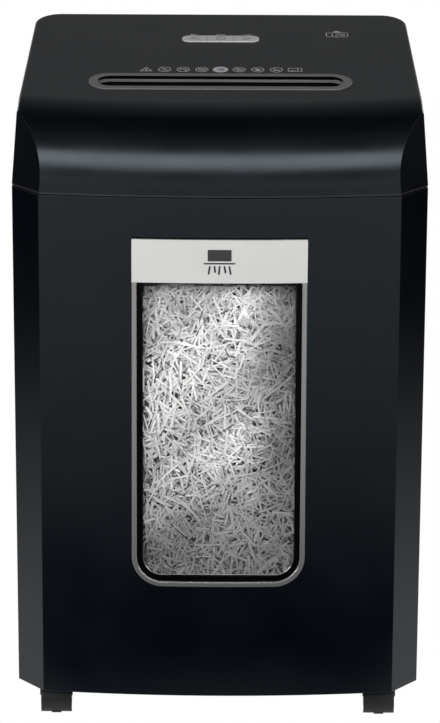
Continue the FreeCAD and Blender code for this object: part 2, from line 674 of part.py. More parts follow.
cover = join(cut(outer, inner), *bosses, ribs, *board_posts)
node("head_cover", cut(cover, slot_hole, pill_hole, pocket_hole, *vents, *boss_bores))

screws = []
for x, y in screw_spots:
    screws.append(join(
        rod("z", "head_pilot - bore_play", "cabinet_top - flange_thick", BOSS_HIGH + " - 3", x, y),
        rod("z", "head_screw_hole + 1.8", "cabinet_top - flange_thick - 2.6",
            "cabinet_top - flange_thick", x, y)))
node("head_screws", group(*screws))

# ---- feed throat ----------------------------------------------------------------------------

ring = cut(join(stadium("bezel_length", "bezel_depth", SLOT_V, "0", "bezel_proud"),
                stadium("slot_length + bezel_spigot", "slot_depth + bezel_spigot", SLOT_V, "-5",
                        "bezel_proud")),
           stadium("slot_length", "slot_depth", SLOT_V, "-10", "bezel_proud + 5"))
node("throat_bezel", ring)

# Funnel from the slot down to the nip of the cutters, standing on the side plates.
GUIDE_FRONT, GUIDE_BACK = "slot_y - bezel_depth/2 + 0.5", "slot_y + bezel_depth/2 - 0.5"
funnel_side = [(GUIDE_FRONT, "guide_low + 8"), (GUIDE_BACK, "guide_low + 8"),
               (GUIDE_BACK, "guide_high + (bezel_depth - 1)*tan(top_slope)"), (GUIDE_FRONT, "guide_high")]
funnel = join(
    prism("x", funnel_side, "-plate_out - throat_wall", "plate_out + throat_wall"),
    box("-plate_place + 1", "plate_place - 1", "slot_y - throat_gap/2 - throat_wall",
        "slot_y + throat_gap/2 + throat_wall", "guide_low", "guide_low + 9"))
funnel_line = [
    ("slot_y - throat_gap/2", "guide_low - 1"), ("slot_y + throat_gap/2", "guide_low - 1"),
    ("slot_y + throat_gap/2", "guide_low + 10"), ("slot_y + slot_depth/2 - 1", "guide_high"),
    ("slot_y + slot_depth/2 - 1", "guide_high + 20"), ("slot_y - slot_depth/2 + 1", "guide_high + 20"),
    ("slot_y - slot_depth/2 + 1", "guide_high"), ("slot_y - throat_gap/2", "guide_low + 10"),
]
node("throat_guide", cut(funnel, prism("x", funnel_line, "-slot_length/2", "slot_length/2")))
eyes = [box("-5", "5", "slot_y %s" % near, "slot_y %s" % far, "guide_high - 14", "guide_high - 4")
        for near, far in (("- bezel_depth/2 - 5.5", "- bezel_depth/2 + 0.5"),
                          ("+ bezel_depth/2 - 0.5", "+ bezel_depth/2 + 5.5"))]
node("paper_sensors", group(*eyes))

# ---- cutter block ---------------------------------------------------------------------------

AXES = {"front": ("front_axis", -1), "rear": ("rear_axis", 1)}
seat_play = " + bore_play"
PLATE_FRONT = "tub_front + tub_wall + 0.5"
left_plate = box("-plate_out", "-plate_place", PLATE_FRONT, "slot_y + 56", "tub_floor",
                 "guide_low + 8")
right_line = [
    (PLATE_FRONT, "tub_floor"), ("tub_back - tub_wall - 1", "tub_floor"),
    ("tub_back - tub_wall - 1", "motor_z + 10"), ("motor_y + 8", "motor_z + 24"),
    ("motor_y - 18", "motor_z + 20"), ("slot_y + 30", "guide_low + 8"),
    (PLATE_FRONT, "guide_low + 8"),
]
right_plate = prism("x", right_line, "plate_place", "plate_out")


def seats(side):
    """Bush seats and tie-rod holes through one side plate."""
    start, end = (side + "plate_out - 1", side + "plate_place + 1") if side == "-" else (
        "plate_place - 1", "plate_out + 1")
    holes = [rod("x", "bush_radius" + seat_play, start, end, y, "cutter_z") for y, way in AXES.values()]
    holes += [rod("x", "rod_neck" + seat_play, start, end, y, z) for y, z in ROD_SPOTS]
    return holes


ROD_SPOTS = [
    ("front_axis - comb_y", "cutter_z"), ("rear_axis + comb_y", "cutter_z"),
    ("front_axis - 14", "rod_low"), ("rear_axis + 14", "rod_low"),
]
pin_holes = [rod("x", "pin_radius" + seat_play, "plate_place - 1", "plate_out + 1", y, z)
             for y, z in (("second_y", "second_z"), ("first_y", "first_z"))]
motor_hole = rod("x", "motor_shaft + 6", "plate_place - 1", "plate_out + 1", "motor_y", "motor_z")
node("cutter_side_plates", group(cut(left_plate, *seats("-")),
                                 cut(right_plate, *seats(""), *pin_holes, motor_hole)))

rods = []
for y, z in ROD_SPOTS:
    rods.append(join(rod("x", "rod_radius", "-plate_place", "plate_place", y, z),
                     rod("x", "rod_neck", "-plate_out - 3", "plate_out + 3", y, z)))
node("tie_rods", group(*rods))
bushes = []
for y, way in AXES.values():
    for start, end in (("-plate_out - 1", "-plate_place + 1"), ("plate_place - 1", "plate_out + 1")):
        bushes.append(cut(rod("x", "bush_radius", start, end, y, "cutter_z"),
                          rod("x", "journal_radius + bore_play", start + " - 1", end + " + 1",
                              y, "cutter_z")))
node("shaft_bushes", group(*bushes))
pins = [rod("x", "pin_radius", "plate_place", "gear_cover_x + 2.4", y, z)
        for y, z in (("second_y", "second_z"), ("first_y", "first_z"))]
node("gear_pins", group(*pins))

cover_line = [
    ("slot_y - 30", "tub_floor"), ("tub_back - tub_wall - 1", "tub_floor"),
    ("tub_back - tub_wall - 1", "first_z + 20"), ("second_y", "second_z + 42"),
    ("slot_y - 30", "guide_low + 22"),
]
gear_plate = prism("x", cover_line, "gear_cover_x", "gear_cover_x + gear_cover_thick")
cover_pins = [rod("x", "pin_radius" + seat_play, "gear_cover_x - 1", "gear_cover_x + 4", y, z)
              for y, z in (("second_y", "second_z"), ("first_y", "first_z"))]
cover_posts = [rod("x", "3.5", "plate_out", "gear_cover_x + 1", y, z)
               for y, z in (("tub_back - 10", "tub_floor + 6"), ("second_y - 2", "tub_floor + 6"))]
node("gear_cover", join(cut(gear_plate, *cover_pins), *cover_posts))


def hexagon(radius, start, end, y):
    """Hexagonal bar of one cutter shaft."""
    bar = doc.addObject("Part::Prism", "hexagon")
    bar.Polygon = 6
    bar.Placement.Rotation = TURN["x"]
    bind(bar, "Circumradius", radius)
    bind(bar, "Height", "(%s) - (%s)" % (end, start))
    place(bar, start, y, "cutter_z")
    return bar


def cutter_discs(name, y, shift):
    """Row of hooked blades with a spacer hub on each, threaded on the hexagonal shaft."""
    pitch = value("disc_pitch")
    thick = value("disc_thick")
    radius = value("disc_radius")
    hub = value("hub_radius")
    middle = V(0, value(y), value("cutter_z"))
    hooks = 5
    steps = 5
    rim_points = []
    for hook in range(hooks):
        for step in range(steps):
            turn = 2 * math.pi * (hook + step / steps) / hooks
            reach = radius * (1 - 0.17 * step / steps)
            rim_points.append(V(0, reach * math.cos(turn), reach * math.sin(turn)))
        turn = 2 * math.pi * (hook + 0.93) / hooks
        rim_points.append(V(0, radius * 0.81 * math.cos(turn), radius * 0.81 * math.sin(turn)))
    hub_points = [V(0, hub * math.cos(math.pi * i / 6), hub * math.sin(math.pi * i / 6))
                  for i in range(12)]
    bore = value("shaft_radius + bore_play")
    hex_points = [V(0, bore * math.sin(math.pi * i / 3), bore * math.cos(math.pi * i / 3))
                  for i in range(6)]
    blade, collar, hole = [
        Part.Face(Part.makePolygon(points + points[:1])) for points in (rim_points, hub_points, hex_points)]
    discs = []
    for k in range(int(value("disc_count"))):
        start = -value("disc_span") / 2 + pitch * k + shift
        body = blade.extrude(V(thick, 0, 0)).fuse(collar.extrude(V(pitch - 0.1, 0, 0)))
        body = body.cut(hole.extrude(V(pitch, 0, 0)))
        discs.append(body.translate(V(start, 0, 0)))
    piece = doc.addObject("Part::Feature", name)
    piece.Shape = Part.Compound(discs)
    piece.Placement.Base = middle
    return piece


def involute_gear(teeth, module, start, width, y, z, tooth_at, bore_shape, play):
    """Spur gear along X whose tooth flanks are involutes in short straight steps."""
    pitch_radius = module * teeth / 2
    base = pitch_radius * math.cos(math.radians(20))
    tip = pitch_radius + module
    root = pitch_radius - 1.25 * module
    half_tooth = math.pi / (2 * teeth) - play / (2 * pitch_radius)
    flat = math.tan(math.radians(20)) - math.radians(20)
    lowest = max(base, root)
    flank = []
    for step in range(5):
        reach = lowest + (tip - lowest) * step / 4
        angle = math.acos(min(1, base / reach))
        flank.append((reach, half_tooth + flat - (math.tan(angle) - angle)))
    if root < base:
        flank.insert(0, (root, flank[0][1]))
    points = []
    for tooth in range(teeth):
        centre = math.radians(tooth_at) + 2 * math.pi * tooth / teeth
        for reach, half in flank:
            points.append((reach, centre - half))
        for reach, half in reversed(flank):
            points.append((reach, centre + half))
    corners = [V(0, reach * math.cos(turn), reach * math.sin(turn)) for reach, turn in points]
    gear = Part.Face(Part.makePolygon(corners + corners[:1])).extrude(V(width, 0, 0))
    gear = gear.translate(V(start, 0, 0))
    return gear.cut(bore_shape).translate(V(0, y, z))


def bar_shape(radius, start, end):
    return Part.makeCylinder(radius, end - start, V(start, 0, 0), V(1, 0, 0))


GEAR_X = value("plate_out + gear_start")
PLAY = value("gear_play")
CROSS_WIDE = value("cross_wide")
FINAL_WIDE = value("final_wide")
SECOND_WIDE = value("second_wide")
FIRST_WIDE = value("first_wide")
STEP = value("gear_step")
FINAL_X = GEAR_X + CROSS_WIDE + STEP
SECOND_X = FINAL_X + FINAL_WIDE + STEP
SHAFT_END = {"front": GEAR_X + CROSS_WIDE, "rear": FINAL_X + FINAL_WIDE}


def numbers(*names):
    return [value(name) for name in names]


def cutter_shaft(name, way):
    """Hexagonal where the discs and gears sit, round where it turns in the bushes."""
    y = AXES[way][0]
    return node(name, join(
        hexagon("shaft_radius", "-plate_place + 1.6", "plate_place - 1.6", y),
        rod("x", "journal_radius", "-plate_out - 2", "%s" % SHAFT_END[way], y, "cutter_z")))


for way in AXES:
    cutter_shaft("cutter_shaft_" + way, way)
DISC_SHIFT = {"front": "disc_shift", "rear": "disc_shift - disc_pitch/2"}
for way, (axis, side) in AXES.items():
    name = "cutter_discs_" + way
    node(name, cutter_discs(name, axis, value(DISC_SHIFT[way])))


def gear_node(name, *gears):
    piece = doc.addObject("Part::Feature", name)
    shape = gears[0] if len(gears) == 1 else gears[0].fuse(list(gears[1:])).removeSplitter()
    piece.Shape = shape
    return node(name, piece)


cross_teeth, final_teeth = int(value("cross_teeth")), int(value("final_teeth"))
second_pinion, second_teeth = int(value("second_pinion")), int(value("second_teeth"))
first_pinion, first_teeth = int(value("first_pinion")), int(value("first_teeth"))
motor_teeth = int(value("motor_teeth"))
front_axis, rear_axis, cutter_z = numbers("front_axis", "rear_axis", "cutter_z")
second_y, second_z, first_y, first_z = numbers("second_y", "second_z", "first_y", "first_z")
motor_y, motor_z = numbers("motor_y", "motor_z")
second_angle, first_angle, motor_angle = numbers("second_angle", "first_angle", "motor_angle")
cross_module = value("shaft_gap") / cross_teeth
final_module, second_module, first_module = numbers("module_final", "module_second", "module_first")
journal = bar_shape(value("journal_radius + 0.02"), 0, 400)
pin_bore = bar_shape(value("pin_radius + bore_play"), 0, 400)
shaft_bore = bar_shape(value("motor_shaft"), 0, 0.001)
gear_node("cutter_gear_front", involute_gear(
    cross_teeth, cross_module, GEAR_X, CROSS_WIDE, front_axis, cutter_z, 180 / cross_teeth, journal, PLAY))
gear_node("cutter_gear_rear", involute_gear(
    cross_teeth, cross_module, GEAR_X, CROSS_WIDE + STEP, rear_axis, cutter_z, 180, journal, PLAY),
    involute_gear(final_teeth, final_module, FINAL_X, FINAL_WIDE, rear_axis, cutter_z, second_angle,
                  journal, PLAY))
gear_node("reduction_gear_second", involute_gear(
    second_pinion, final_module, FINAL_X, FINAL_WIDE + STEP, second_y, second_z,
    second_angle + 180 + 180 / second_pinion, pin_bore, PLAY),
    involute_gear(second_teeth, second_module, SECOND_X, SECOND_WIDE, second_y, second_z, first_angle,
                  pin_bore, PLAY))
FIRST_X = GEAR_X + STEP
hub = bar_shape(value("module_second*first_pinion/2 - 1.6*module_second"), FIRST_X,
                SECOND_X + SECOND_WIDE)
hub = hub.cut(pin_bore).translate(V(0, first_y, first_z))
gear_node("reduction_gear_first", involute_gear(
    first_pinion, second_module, SECOND_X, SECOND_WIDE, first_y, first_z,
    first_angle + 180 + 180 / first_pinion, pin_bore, PLAY),
    involute_gear(first_teeth, first_module, FIRST_X, FIRST_WIDE, first_y, first_z, motor_angle,
                  pin_bore, PLAY),
    hub)
pinion = involute_gear(motor_teeth, first_module, FIRST_X - 1, FIRST_WIDE + STEP, motor_y, motor_z,
                       motor_angle + 180 + 180 / motor_teeth, shaft_bore, PLAY)
spindle = bar_shape(value("motor_shaft"), value("motor_start - 18"), FIRST_X)
gear_node("motor_pinion", pinion, spindle.translate(V(0, motor_y, motor_z)))


def comb(name, way):
    """Plastic comb on its tie rod: a bar with one finger in each gap between the discs."""
    axis, side = AXES[way]
    near, far = ("%s + %s*(disc_radius + 2)" % (axis, side), "%s + %s*(comb_y + 6)" % (axis, side))
    low, high = (near, far) if side == 1 else (far, near)
    bar = box("-plate_place + 2", "plate_place - 2", low, high, "cutter_z - 13", "cutter_z + 13")
    tip = "%s + %s*(hub_radius + 1)" % (axis, side)
    root = "%s + %s*(disc_radius + 3)" % (axis, side)
    low, high = (tip, root) if side == 1 else (root, tip)
    fingers = []
    for k in range(int(value("disc_count")) - 1):
        centre = "-disc_span/2 + disc_pitch*%d + %s + (disc_pitch + disc_thick)/2" % (k, DISC_SHIFT[way])
        fingers.append(box("%s - finger_thick/2" % centre, "%s + finger_thick/2" % centre, low, high,
                           "cutter_z - 7", "cutter_z + 7"))
    hole = rod("x", "rod_radius + bore_play", "-plate_place", "plate_place",
               "%s + %s*comb_y" % (axis, side), "cutter_z")
    return node(name, cut(join(bar, *fingers), hole))


comb("stripper_comb_front", "front")
comb("stripper_comb_rear", "rear")

# ---- motor ----------------------------------------------------------------------------------

can = cut(rod("x", "motor_radius", "motor_start", "motor_end", "motor_y", "motor_z"),
          rod("x", "motor_shaft + bore_play", "motor_start - 1", "motor_end + 2", "motor_y", "motor_z"))
node("motor_case", soften(can, "3", lambda edge: edge.BoundBox.XMax < value("motor_start + 1")
                          and edge.BoundBox.ZLength > 40))
cradle = cut(
    box("motor_start + 20", "motor_start + 20 + cradle_length", "motor_y - cradle_half",
        "motor_y + cradle_half", "tub_floor", "motor_z - 14"),
    rod("x", "motor_radius + 0.1", "motor_start", "motor_end", "motor_y", "motor_z"))
node("motor_mount", cradle)

fan_middle = V(*numbers("motor_start - 10", "motor_y", "motor_z"))
blades = [rod("x", "fan_hub", "motor_start - 16", "motor_start - 5", "motor_y", "motor_z")]
for k in range(int(value("fan_blades"))):
    blade = doc.addObject("Part::Box", "blade")
    bind(blade, "Length", "fan_blade")
    bind(blade, "Width", "fan_radius")
    bind(blade, "Height", "9")
    turn = FreeCAD.Rotation(V(1, 0, 0), 360 / value("fan_blades") * k)
    lean = FreeCAD.Rotation(V(0, 1, 0), 35)
    blade.Placement = FreeCAD.Placement(fan_middle + turn.multVec(V(-4, 0, -3)), turn.multiply(lean))
    blades.append(blade)
bore = rod("x", "motor_shaft", "motor_start - 30", "motor_start", "motor_y", "motor_z")
node("cooling_fan", cut(join(*blades), bore))

# ---- electrics ------------------------------------------------------------------------------

board = top_box("-board_half", "board_half", PILL_V + " - post_front - 6",
                PILL_V + " + post_rear + 4", "-board_drop - board_thick", "-board_drop")
node("control_board", board)
switches = [top_box("%d*key_pitch - switch_size/2" % k, "%d*key_pitch + switch_size/2" % k,
                    PILL_V + " - switch_size/2", PILL_V + " + switch_size/2", "-board_drop",
                    "-board_drop + switch_height") for k in (-1, 0, 1)]
node("button_switches", group(*switches))

BOARD_TOP = "tub_floor + power_stand + board_thick"
board = box("power_left", "power_left + power_length", "power_front", "power_front + power_depth",
            "tub_floor + power_stand", BOARD_TOP)


def on_board(left, front, length, depth, height):
    """Block on the power board, measured from its front left corner."""
    return box("power_left + " + left, "power_left + %s + %s" % (left, length), "power_front + " + front,
               "power_front + %s + %s" % (front, depth), BOARD_TOP, BOARD_TOP + " + " + height)


coil = rod("z", "coil_radius", BOARD_TOP, BOARD_TOP + " + coil_height", "power_left + 16",
           "power_front + 20")
node("power_board", join(
    board, coil, on_board("32", "8", "can_width", "can_depth", "can_height"),
    on_board("8", "46", "can_width - 6", "can_depth + 4", "can_height - 8"),
    on_board("40", "50", "can_width - 10", "can_depth", "can_height - 9")))

node("interlock_switch", box("tub_half - 48", "tub_half - 28", "tub_front + 4", "tub_front + 14",
                             "tub_floor - tub_wall - 14", "tub_floor - tub_wall"))

# ---- power inlet in the back of the cover ---------------------------------------------------

half_wide = "pocket_width/2 - pocket_play"
half_tall = "pocket_height/2 - pocket_play"
pocket = cut(
    box("pocket_x - (%s)" % half_wide, "pocket_x + " + half_wide, "pocket_y - 2", "back_y - 4.5",
        "pocket_z - (%s)" % half_tall, "pocket_z + " + half_tall),
    box("pocket_x + pocket_wall - (%s)" % half_wide, "pocket_x - pocket_wall + " + half_wide,
        "pocket_y + 1", "back_y + 1", "pocket_z + pocket_wall - (%s)" % half_tall,
        "pocket_z - pocket_wall + " + half_tall))
GLAND_X = "gland_x"
SWITCH_X = "switch_x"
gland_seat = rod("y", "gland_radius - 2.5", "pocket_y - 5", "back_y", GLAND_X, "pocket_z")
switch_seat = box(SWITCH_X + " - case_half - 0.2", SWITCH_X + " + case_half + 0.2", "pocket_y - 5",
                  "back_y", "pocket_z - case_half_high - 0.2", "pocket_z + case_half_high + 0.2")
node("inlet_pocket", cut(pocket, gland_seat, switch_seat))

gland = join(rod("y", "gland_radius", "pocket_y + 1", "back_y - 1.5", GLAND_X, "pocket_z"),
             rod("y", "gland_radius - 2.6", "pocket_y - 6", "pocket_y + 2", GLAND_X, "pocket_z"))
node("cord_gland", cut(gland, rod("y", "cord_radius", "pocket_y - 8", "back_y", GLAND_X, "pocket_z")))

case = join(
    box(SWITCH_X + " - case_half", SWITCH_X + " + case_half", "pocket_y - 16", "pocket_y + 1",
        "pocket_z - case_half_high", "pocket_z + case_half_high"),
    box(SWITCH_X + " - case_half - case_lip", SWITCH_X + " + case_half + case_lip", "pocket_y + 1",
        "pocket_y + 3", "pocket_z - case_half_high - case_lip", "pocket_z + case_half_high + case_lip"))
well = box(SWITCH_X + " - rocker_width/2 - 0.4", SWITCH_X + " + rocker_width/2 + 0.4", "pocket_y - 9",
           "pocket_y + 5", "pocket_z - rocker_half - 0.8", "pocket_z + rocker_half + 0.8")
node("power_switch_case", cut(case, well))

# The rocker turns about X; at rest it is pressed to its off side.
ROCKER_LEAN = -7
rocker_line = [("0", "-rocker_half"), ("2.6", "-rocker_half"), ("1.6", "0"), ("2.6", "rocker_half"),
               ("0", "rocker_half"), ("-4", "3"), ("-4", "-3")]
section = outline(rocker_line)
section.Placement.Rotation = FreeCAD.Rotation(V(1, 0, 0), ROCKER_LEAN).multiply(PLANE["x"])
place(section, SWITCH_X + " - rocker_width/2", "pocket_y + 2", "pocket_z")
rocker = doc.addObject("Part::Extrusion", "rocker")
rocker.Base = section
rocker.DirMode = "Custom"
rocker.Dir = V(1, 0, 0)
rocker.Solid = True
bind(rocker, "LengthFwd", "rocker_width")
node("power_rocker", rocker)

# ---- buttons --------------------------------------------------------------------------------

third = "(pill_length - 2*button_gap)/3"
for name, place_in_row in (("reverse_button", -1), ("auto_button", 0), ("forward_button", 1)):
    cap = stadium("pill_length - 2*button_gap", "pill_depth - 2*button_gap", PILL_V, "-5",
                  "button_proud")
    window = top_box("%d*(%s) - (%s)/2 + button_gap/2" % (place_in_row, third, third),
                     "%d*(%s) + (%s)/2 - button_gap/2" % (place_in_row, third, third),
                     PILL_V + " - 20", PILL_V + " + 20", "-6", "button_proud + 1")
    stem = top_rod("2", "%d*key_pitch" % place_in_row, PILL_V,
                   "-board_drop + switch_height + button_travel + 0.1", "-4")
    node(name, join(meet(cap, window), stem))

# ---- casters --------------------------------------------------------------------------------

for corner, (x, y, way) in CASTERS.items():
    stem = stem_y(y, way)
    near, far = ("%s - wheel_radius + 2" % y, "%s + stem_radius + stem_wall" % stem)
    if way == -1:
        near, far = ("%s - stem_radius - stem_wall" % stem, "%s + wheel_radius - 2" % y)
    hood_top = "2*wheel_radius + hood_gap + hood_thick - 0.7"
    out = "(wheel_apart/2 + wheel_thick)"
    web = box("%s - web_thick/2" % x, "%s + web_thick/2" % x, near, far, "web_lift", hood_top)
    hood = cut(rod("x", "wheel_radius + hood_gap + hood_thick", "%s - %s - 1.6" % (x, out),
                   "%s + %s + 1.6" % (x, out), y, "wheel_radius"),
               rod("x", "wheel_radius + hood_gap", "%s - 40" % x, "%s + 40" % x, y, "wheel_radius"),
               box("%s - 40" % x, "%s + 40" % x, "%s - 30" % y, "%s + 30" % y, "-10",
                   "wheel_radius + 6"))
    neck = rod("z", "stem_radius + stem_wall", hood_top + " - 0.5", "caster_height - 0.5", x, stem)
    pin = rod("z", "stem_radius", hood_top + " - 0.5", "caster_height + socket_height - 2", x, stem)
    eye = rod("x", "axle_radius", "%s - 20" % x, "%s + 20" % x, y, "wheel_radius")
    node("caster_hood_" + corner, cut(join(web, hood, neck, pin), eye))
    node("caster_axle_" + corner, rod("x", "axle_radius", "%s - %s - 0.6" % (x, out),
                                      "%s + %s + 0.6" % (x, out), y, "wheel_radius"))
    wheels = []
    for start, end in (("%s - %s" % (x, out), "%s - wheel_apart/2" % x),
                       ("%s + wheel_apart/2" % x, "%s + %s" % (x, out))):
        tyre = rod("x", "wheel_radius", start, end, y, "wheel_radius")
        tyre = soften(tyre, "wheel_edge", lambda edge: edge.BoundBox.ZLength > 20)
        bore = rod("x", "axle_radius + bore_play", start + " - 1", end + " + 1", y, "wheel_radius")
        wheels.append(cut(tyre, bore))
    node("caster_wheels_" + corner, group(*wheels))

# ---- check and write ------------------------------------------------------------------------

doc.recompute()
for piece in doc.Objects:
    if "Invalid" in piece.State or "Error" in piece.State:
        raise RuntimeError("%s (%s) failed: %s" % (piece.Name, piece.Label, piece.State))
for piece in NODES:
    if piece.Shape.isNull() or not piece.Shape.isValid() or not piece.Shape.Solids:
        raise RuntimeError("%s has no valid solid" % piece.Label)
os.makedirs("parts", exist_ok=True)
for piece in NODES:
    piece.Shape.exportStep("parts/%s.step" % piece.Label)
    print("%-26s %3d solids %12.1f mm3" % (piece.Label, len(piece.Shape.Solids), piece.Shape.Volume))
print(len(NODES), "nodes")
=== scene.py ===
import json
import math
import random

import bmesh
import bpy
from mathutils import Matrix, Vector, noise


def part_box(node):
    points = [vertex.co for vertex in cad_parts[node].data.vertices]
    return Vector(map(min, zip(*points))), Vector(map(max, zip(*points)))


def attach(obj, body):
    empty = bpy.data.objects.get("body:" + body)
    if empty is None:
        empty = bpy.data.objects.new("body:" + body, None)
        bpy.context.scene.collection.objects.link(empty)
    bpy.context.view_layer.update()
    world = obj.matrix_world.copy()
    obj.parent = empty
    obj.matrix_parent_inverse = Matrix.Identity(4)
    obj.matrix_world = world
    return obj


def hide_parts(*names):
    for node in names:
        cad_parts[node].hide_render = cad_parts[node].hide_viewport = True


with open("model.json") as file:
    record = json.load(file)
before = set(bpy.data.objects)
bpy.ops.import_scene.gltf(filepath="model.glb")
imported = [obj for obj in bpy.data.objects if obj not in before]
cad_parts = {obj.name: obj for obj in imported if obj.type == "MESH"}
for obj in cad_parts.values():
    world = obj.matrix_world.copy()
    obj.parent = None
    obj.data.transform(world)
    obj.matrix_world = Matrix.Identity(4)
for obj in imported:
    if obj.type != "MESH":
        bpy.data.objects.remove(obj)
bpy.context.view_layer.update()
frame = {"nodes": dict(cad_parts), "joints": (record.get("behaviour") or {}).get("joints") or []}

NODES = frame["nodes"]


# ---- Studio ---------------------------------------------------------------------------------
# A seamless floor and surround that look white to the camera and grey to the machine, a long
# soft box over its front, a large one at each side and a dim one behind each shoulder.  The
# tones of the floor and surround are what the black faces mirror as a faint sheen.

def feed(tree, source, socket):
    """Give an input another node's output, a colour or a number."""
    if isinstance(source, bpy.types.NodeSocket):
        tree.links.new(source, socket)
    elif socket.type == "RGBA":
        socket.default_value = (*source, 1)
    else:
        socket.default_value = source


def add_node(tree, kind, inputs=None, **settings):
    """Node with its settings made and its inputs fed, placed in rows as nodes are added."""
    item = tree.nodes.new(kind)
    row, column = divmod(len(tree.nodes), 6)
    item.location = (220 * column, -260 * row)
    for key, value in settings.items():
        setattr(item, key, value)
    for key, source in (inputs or {}).items():
        feed(tree, source, item.inputs[key])
    return item


def result(tree, kind, output, inputs=None, **settings):
    """One output of a new node."""
    return add_node(tree, kind, inputs, **settings).outputs[output]


def calc(tree, operation, *sources):
    """Result of a maths node; each source is an output or a number."""
    return result(tree, "ShaderNodeMath", 0, dict(enumerate(sources)), operation=operation)


def vector_calc(tree, operation, *sources, output="Vector"):
    """The same for vectors; output is "Value" where the result is a number."""
    return result(tree, "ShaderNodeVectorMath", output, dict(enumerate(sources)), operation=operation)


def axes(tree, vector):
    """The outputs X, Y and Z of a vector."""
    return add_node(tree, "ShaderNodeSeparateXYZ", {"Vector": vector}).outputs


def ramp(tree, factor, stops):
    """Grey from (position, grey) stops."""
    item = add_node(tree, "ShaderNodeValToRGB", {"Fac": factor})
    while len(item.color_ramp.elements) < len(stops):
        item.color_ramp.elements.new(0.5)
    for element, (position, grey) in zip(item.color_ramp.elements, stops):
        element.position = position
        element.color = (grey, grey, grey, 1)
    return item.outputs["Color"]


def map_range(tree, value, low, high, first=0.0, last=1.0, **settings):
    """Value carried from the range low to high over to first to last."""
    return result(tree, "ShaderNodeMapRange", "Result", {
        "Value": value, "From Min": low, "From Max": high, "To Min": first, "To Max": last}, **settings)


def blend(tree, share, first, second, mode="MIX"):
    """Colour mix; each source is an output, a number or a colour."""
    mix = add_node(tree, "ShaderNodeMix", data_type="RGBA", blend_type=mode)
    for source, entry in ((share, "Factor"), (first, "A"), (second, "B")):
        feed(tree, source, [s for s in mix.inputs if s.name == entry and s.enabled][0])
    return [s for s in mix.outputs if s.enabled][0]


def mix_shaders(tree, share, first, second):
    """Share of the second shader over the first."""
    return result(tree, "ShaderNodeMixShader", "Shader", {0: share, 1: first, 2: second})


def node_tree(owner):
    """Empty node tree of a material or world."""
    owner.use_nodes = True
    owner.node_tree.nodes.clear()
    return owner.node_tree


def put(name, data):
    """New object in the scene."""
    item = bpy.data.objects.new(name, data)
    bpy.context.scene.collection.objects.link(item)
    return item


bpy.context.scene.view_settings.view_transform = "Standard"
world = bpy.data.worlds.new("studio")
bpy.context.scene.world = world
tree = node_tree(world)
direction = axes(tree, result(tree, "ShaderNodeTexCoord", "Generated"))
sky = ramp(tree, map_range(tree, direction["Z"], -1.0, 1.0),
           [(0.0, 0.02), (0.5, 0.6), (0.62, 0.34), (0.82, 0.3), (0.95, 0.2), (0.985, 0.01)])
flank = ramp(tree, calc(tree, "ABSOLUTE", direction["X"]), [(0.0, 1.0), (0.5, 1.0), (0.8, 0.02)])
lit = result(tree, "ShaderNodeBackground", "Background",
             {"Color": vector_calc(tree, "MULTIPLY", sky, flank), "Strength": 0.78})
white = result(tree, "ShaderNodeBackground", "Background", {"Color": (1, 1, 1)})
by_camera = result(tree, "ShaderNodeLightPath", "Is Camera Ray")
add_node(tree, "ShaderNodeOutputWorld", {"Surface": mix_shaders(tree, by_camera, lit, white)})

FLOOR_HALF = 16.0
FLOOR_FADE = 4.0        # distance in metres over which the floor's tones are given
mesh = bpy.data.meshes.new("floor")
corners = [(x * FLOOR_HALF, y * FLOOR_HALF, 0) for x, y in ((-1, -1), (1, -1), (1, 1), (-1, 1))]
mesh.from_pydata(corners, [], [(0, 1, 2, 3)])
floor = put("floor", mesh)
pale_floor = bpy.data.materials.new("pale_floor")
tree = node_tree(pale_floor)
place = result(tree, "ShaderNodeTexCoord", "Object")
away = map_range(tree, vector_calc(tree, "LENGTH", place, output="Value"), 0.0, FLOOR_FADE)
ahead = ramp(tree, away, [(0.0, 0.3), (0.055, 0.22), (0.09, 0.0), (0.14, 0.0), (0.19, 0.12),
                          (0.27, 0.29), (0.36, 0.4), (0.58, 0.55), (1.0, 0.7)])
aside = ramp(tree, away, [(0.0, 0.62), (0.12, 0.52), (0.22, 0.3), (0.31, 0.15), (0.40, 0.02),
                          (0.5, 0.0), (1.0, 0.02)])
sideways = calc(tree, "ABSOLUTE", axes(tree, vector_calc(tree, "NORMALIZE", place))["X"])
sheen = result(tree, "ShaderNodeEmission", "Emission", {
    "Color": blend(tree, map_range(tree, sideways, 0.55, 0.85), ahead, aside), "Strength": 1.41})
seen = result(tree, "ShaderNodeEmission", "Emission", {"Color": (1, 1, 1)})
by_camera = result(tree, "ShaderNodeLightPath", "Is Camera Ray")
add_node(tree, "ShaderNodeOutputMaterial", {"Surface": mix_shaders(tree, by_camera, sheen, seen)})
mesh.materials.append(pale_floor)


def soft_box(name, spot, target, size, watts):
    """Rectangular area light aimed at a point, its size in metres."""
    light = bpy.data.lights.new(name, "AREA")
    light.shape = "RECTANGLE"
    light.size, light.size_y = size
    light.energy = watts
    item = put(name, light)
    item.location = spot
    item.rotation_euler = (Vector(target) - Vector(spot)).to_track_quat("-Z", "Y").to_euler()


MACHINE_MIDDLE = (0, 0, 0.4)
HEAD_FRONT = (0, -0.13, 0.55)
soft_box("front_box", (0, -2.78, 2.0), HEAD_FRONT, (3.2, 1.1), 67)
soft_box("left_box", (-2.3, -2.3, 1.3), MACHINE_MIDDLE, (1.3, 1.7), 134)
soft_box("right_box", (2.4, -2.2, 1.3), MACHINE_MIDDLE, (1.3, 1.7), 93)
soft_box("back_left_box", (-2.3, 2.4, 1.2), MACHINE_MIDDLE, (1.2, 1.4), 28)
soft_box("back_right_box", (2.3, 2.4, 1.2), MACHINE_MIDDLE, (1.2, 1.4), 28)

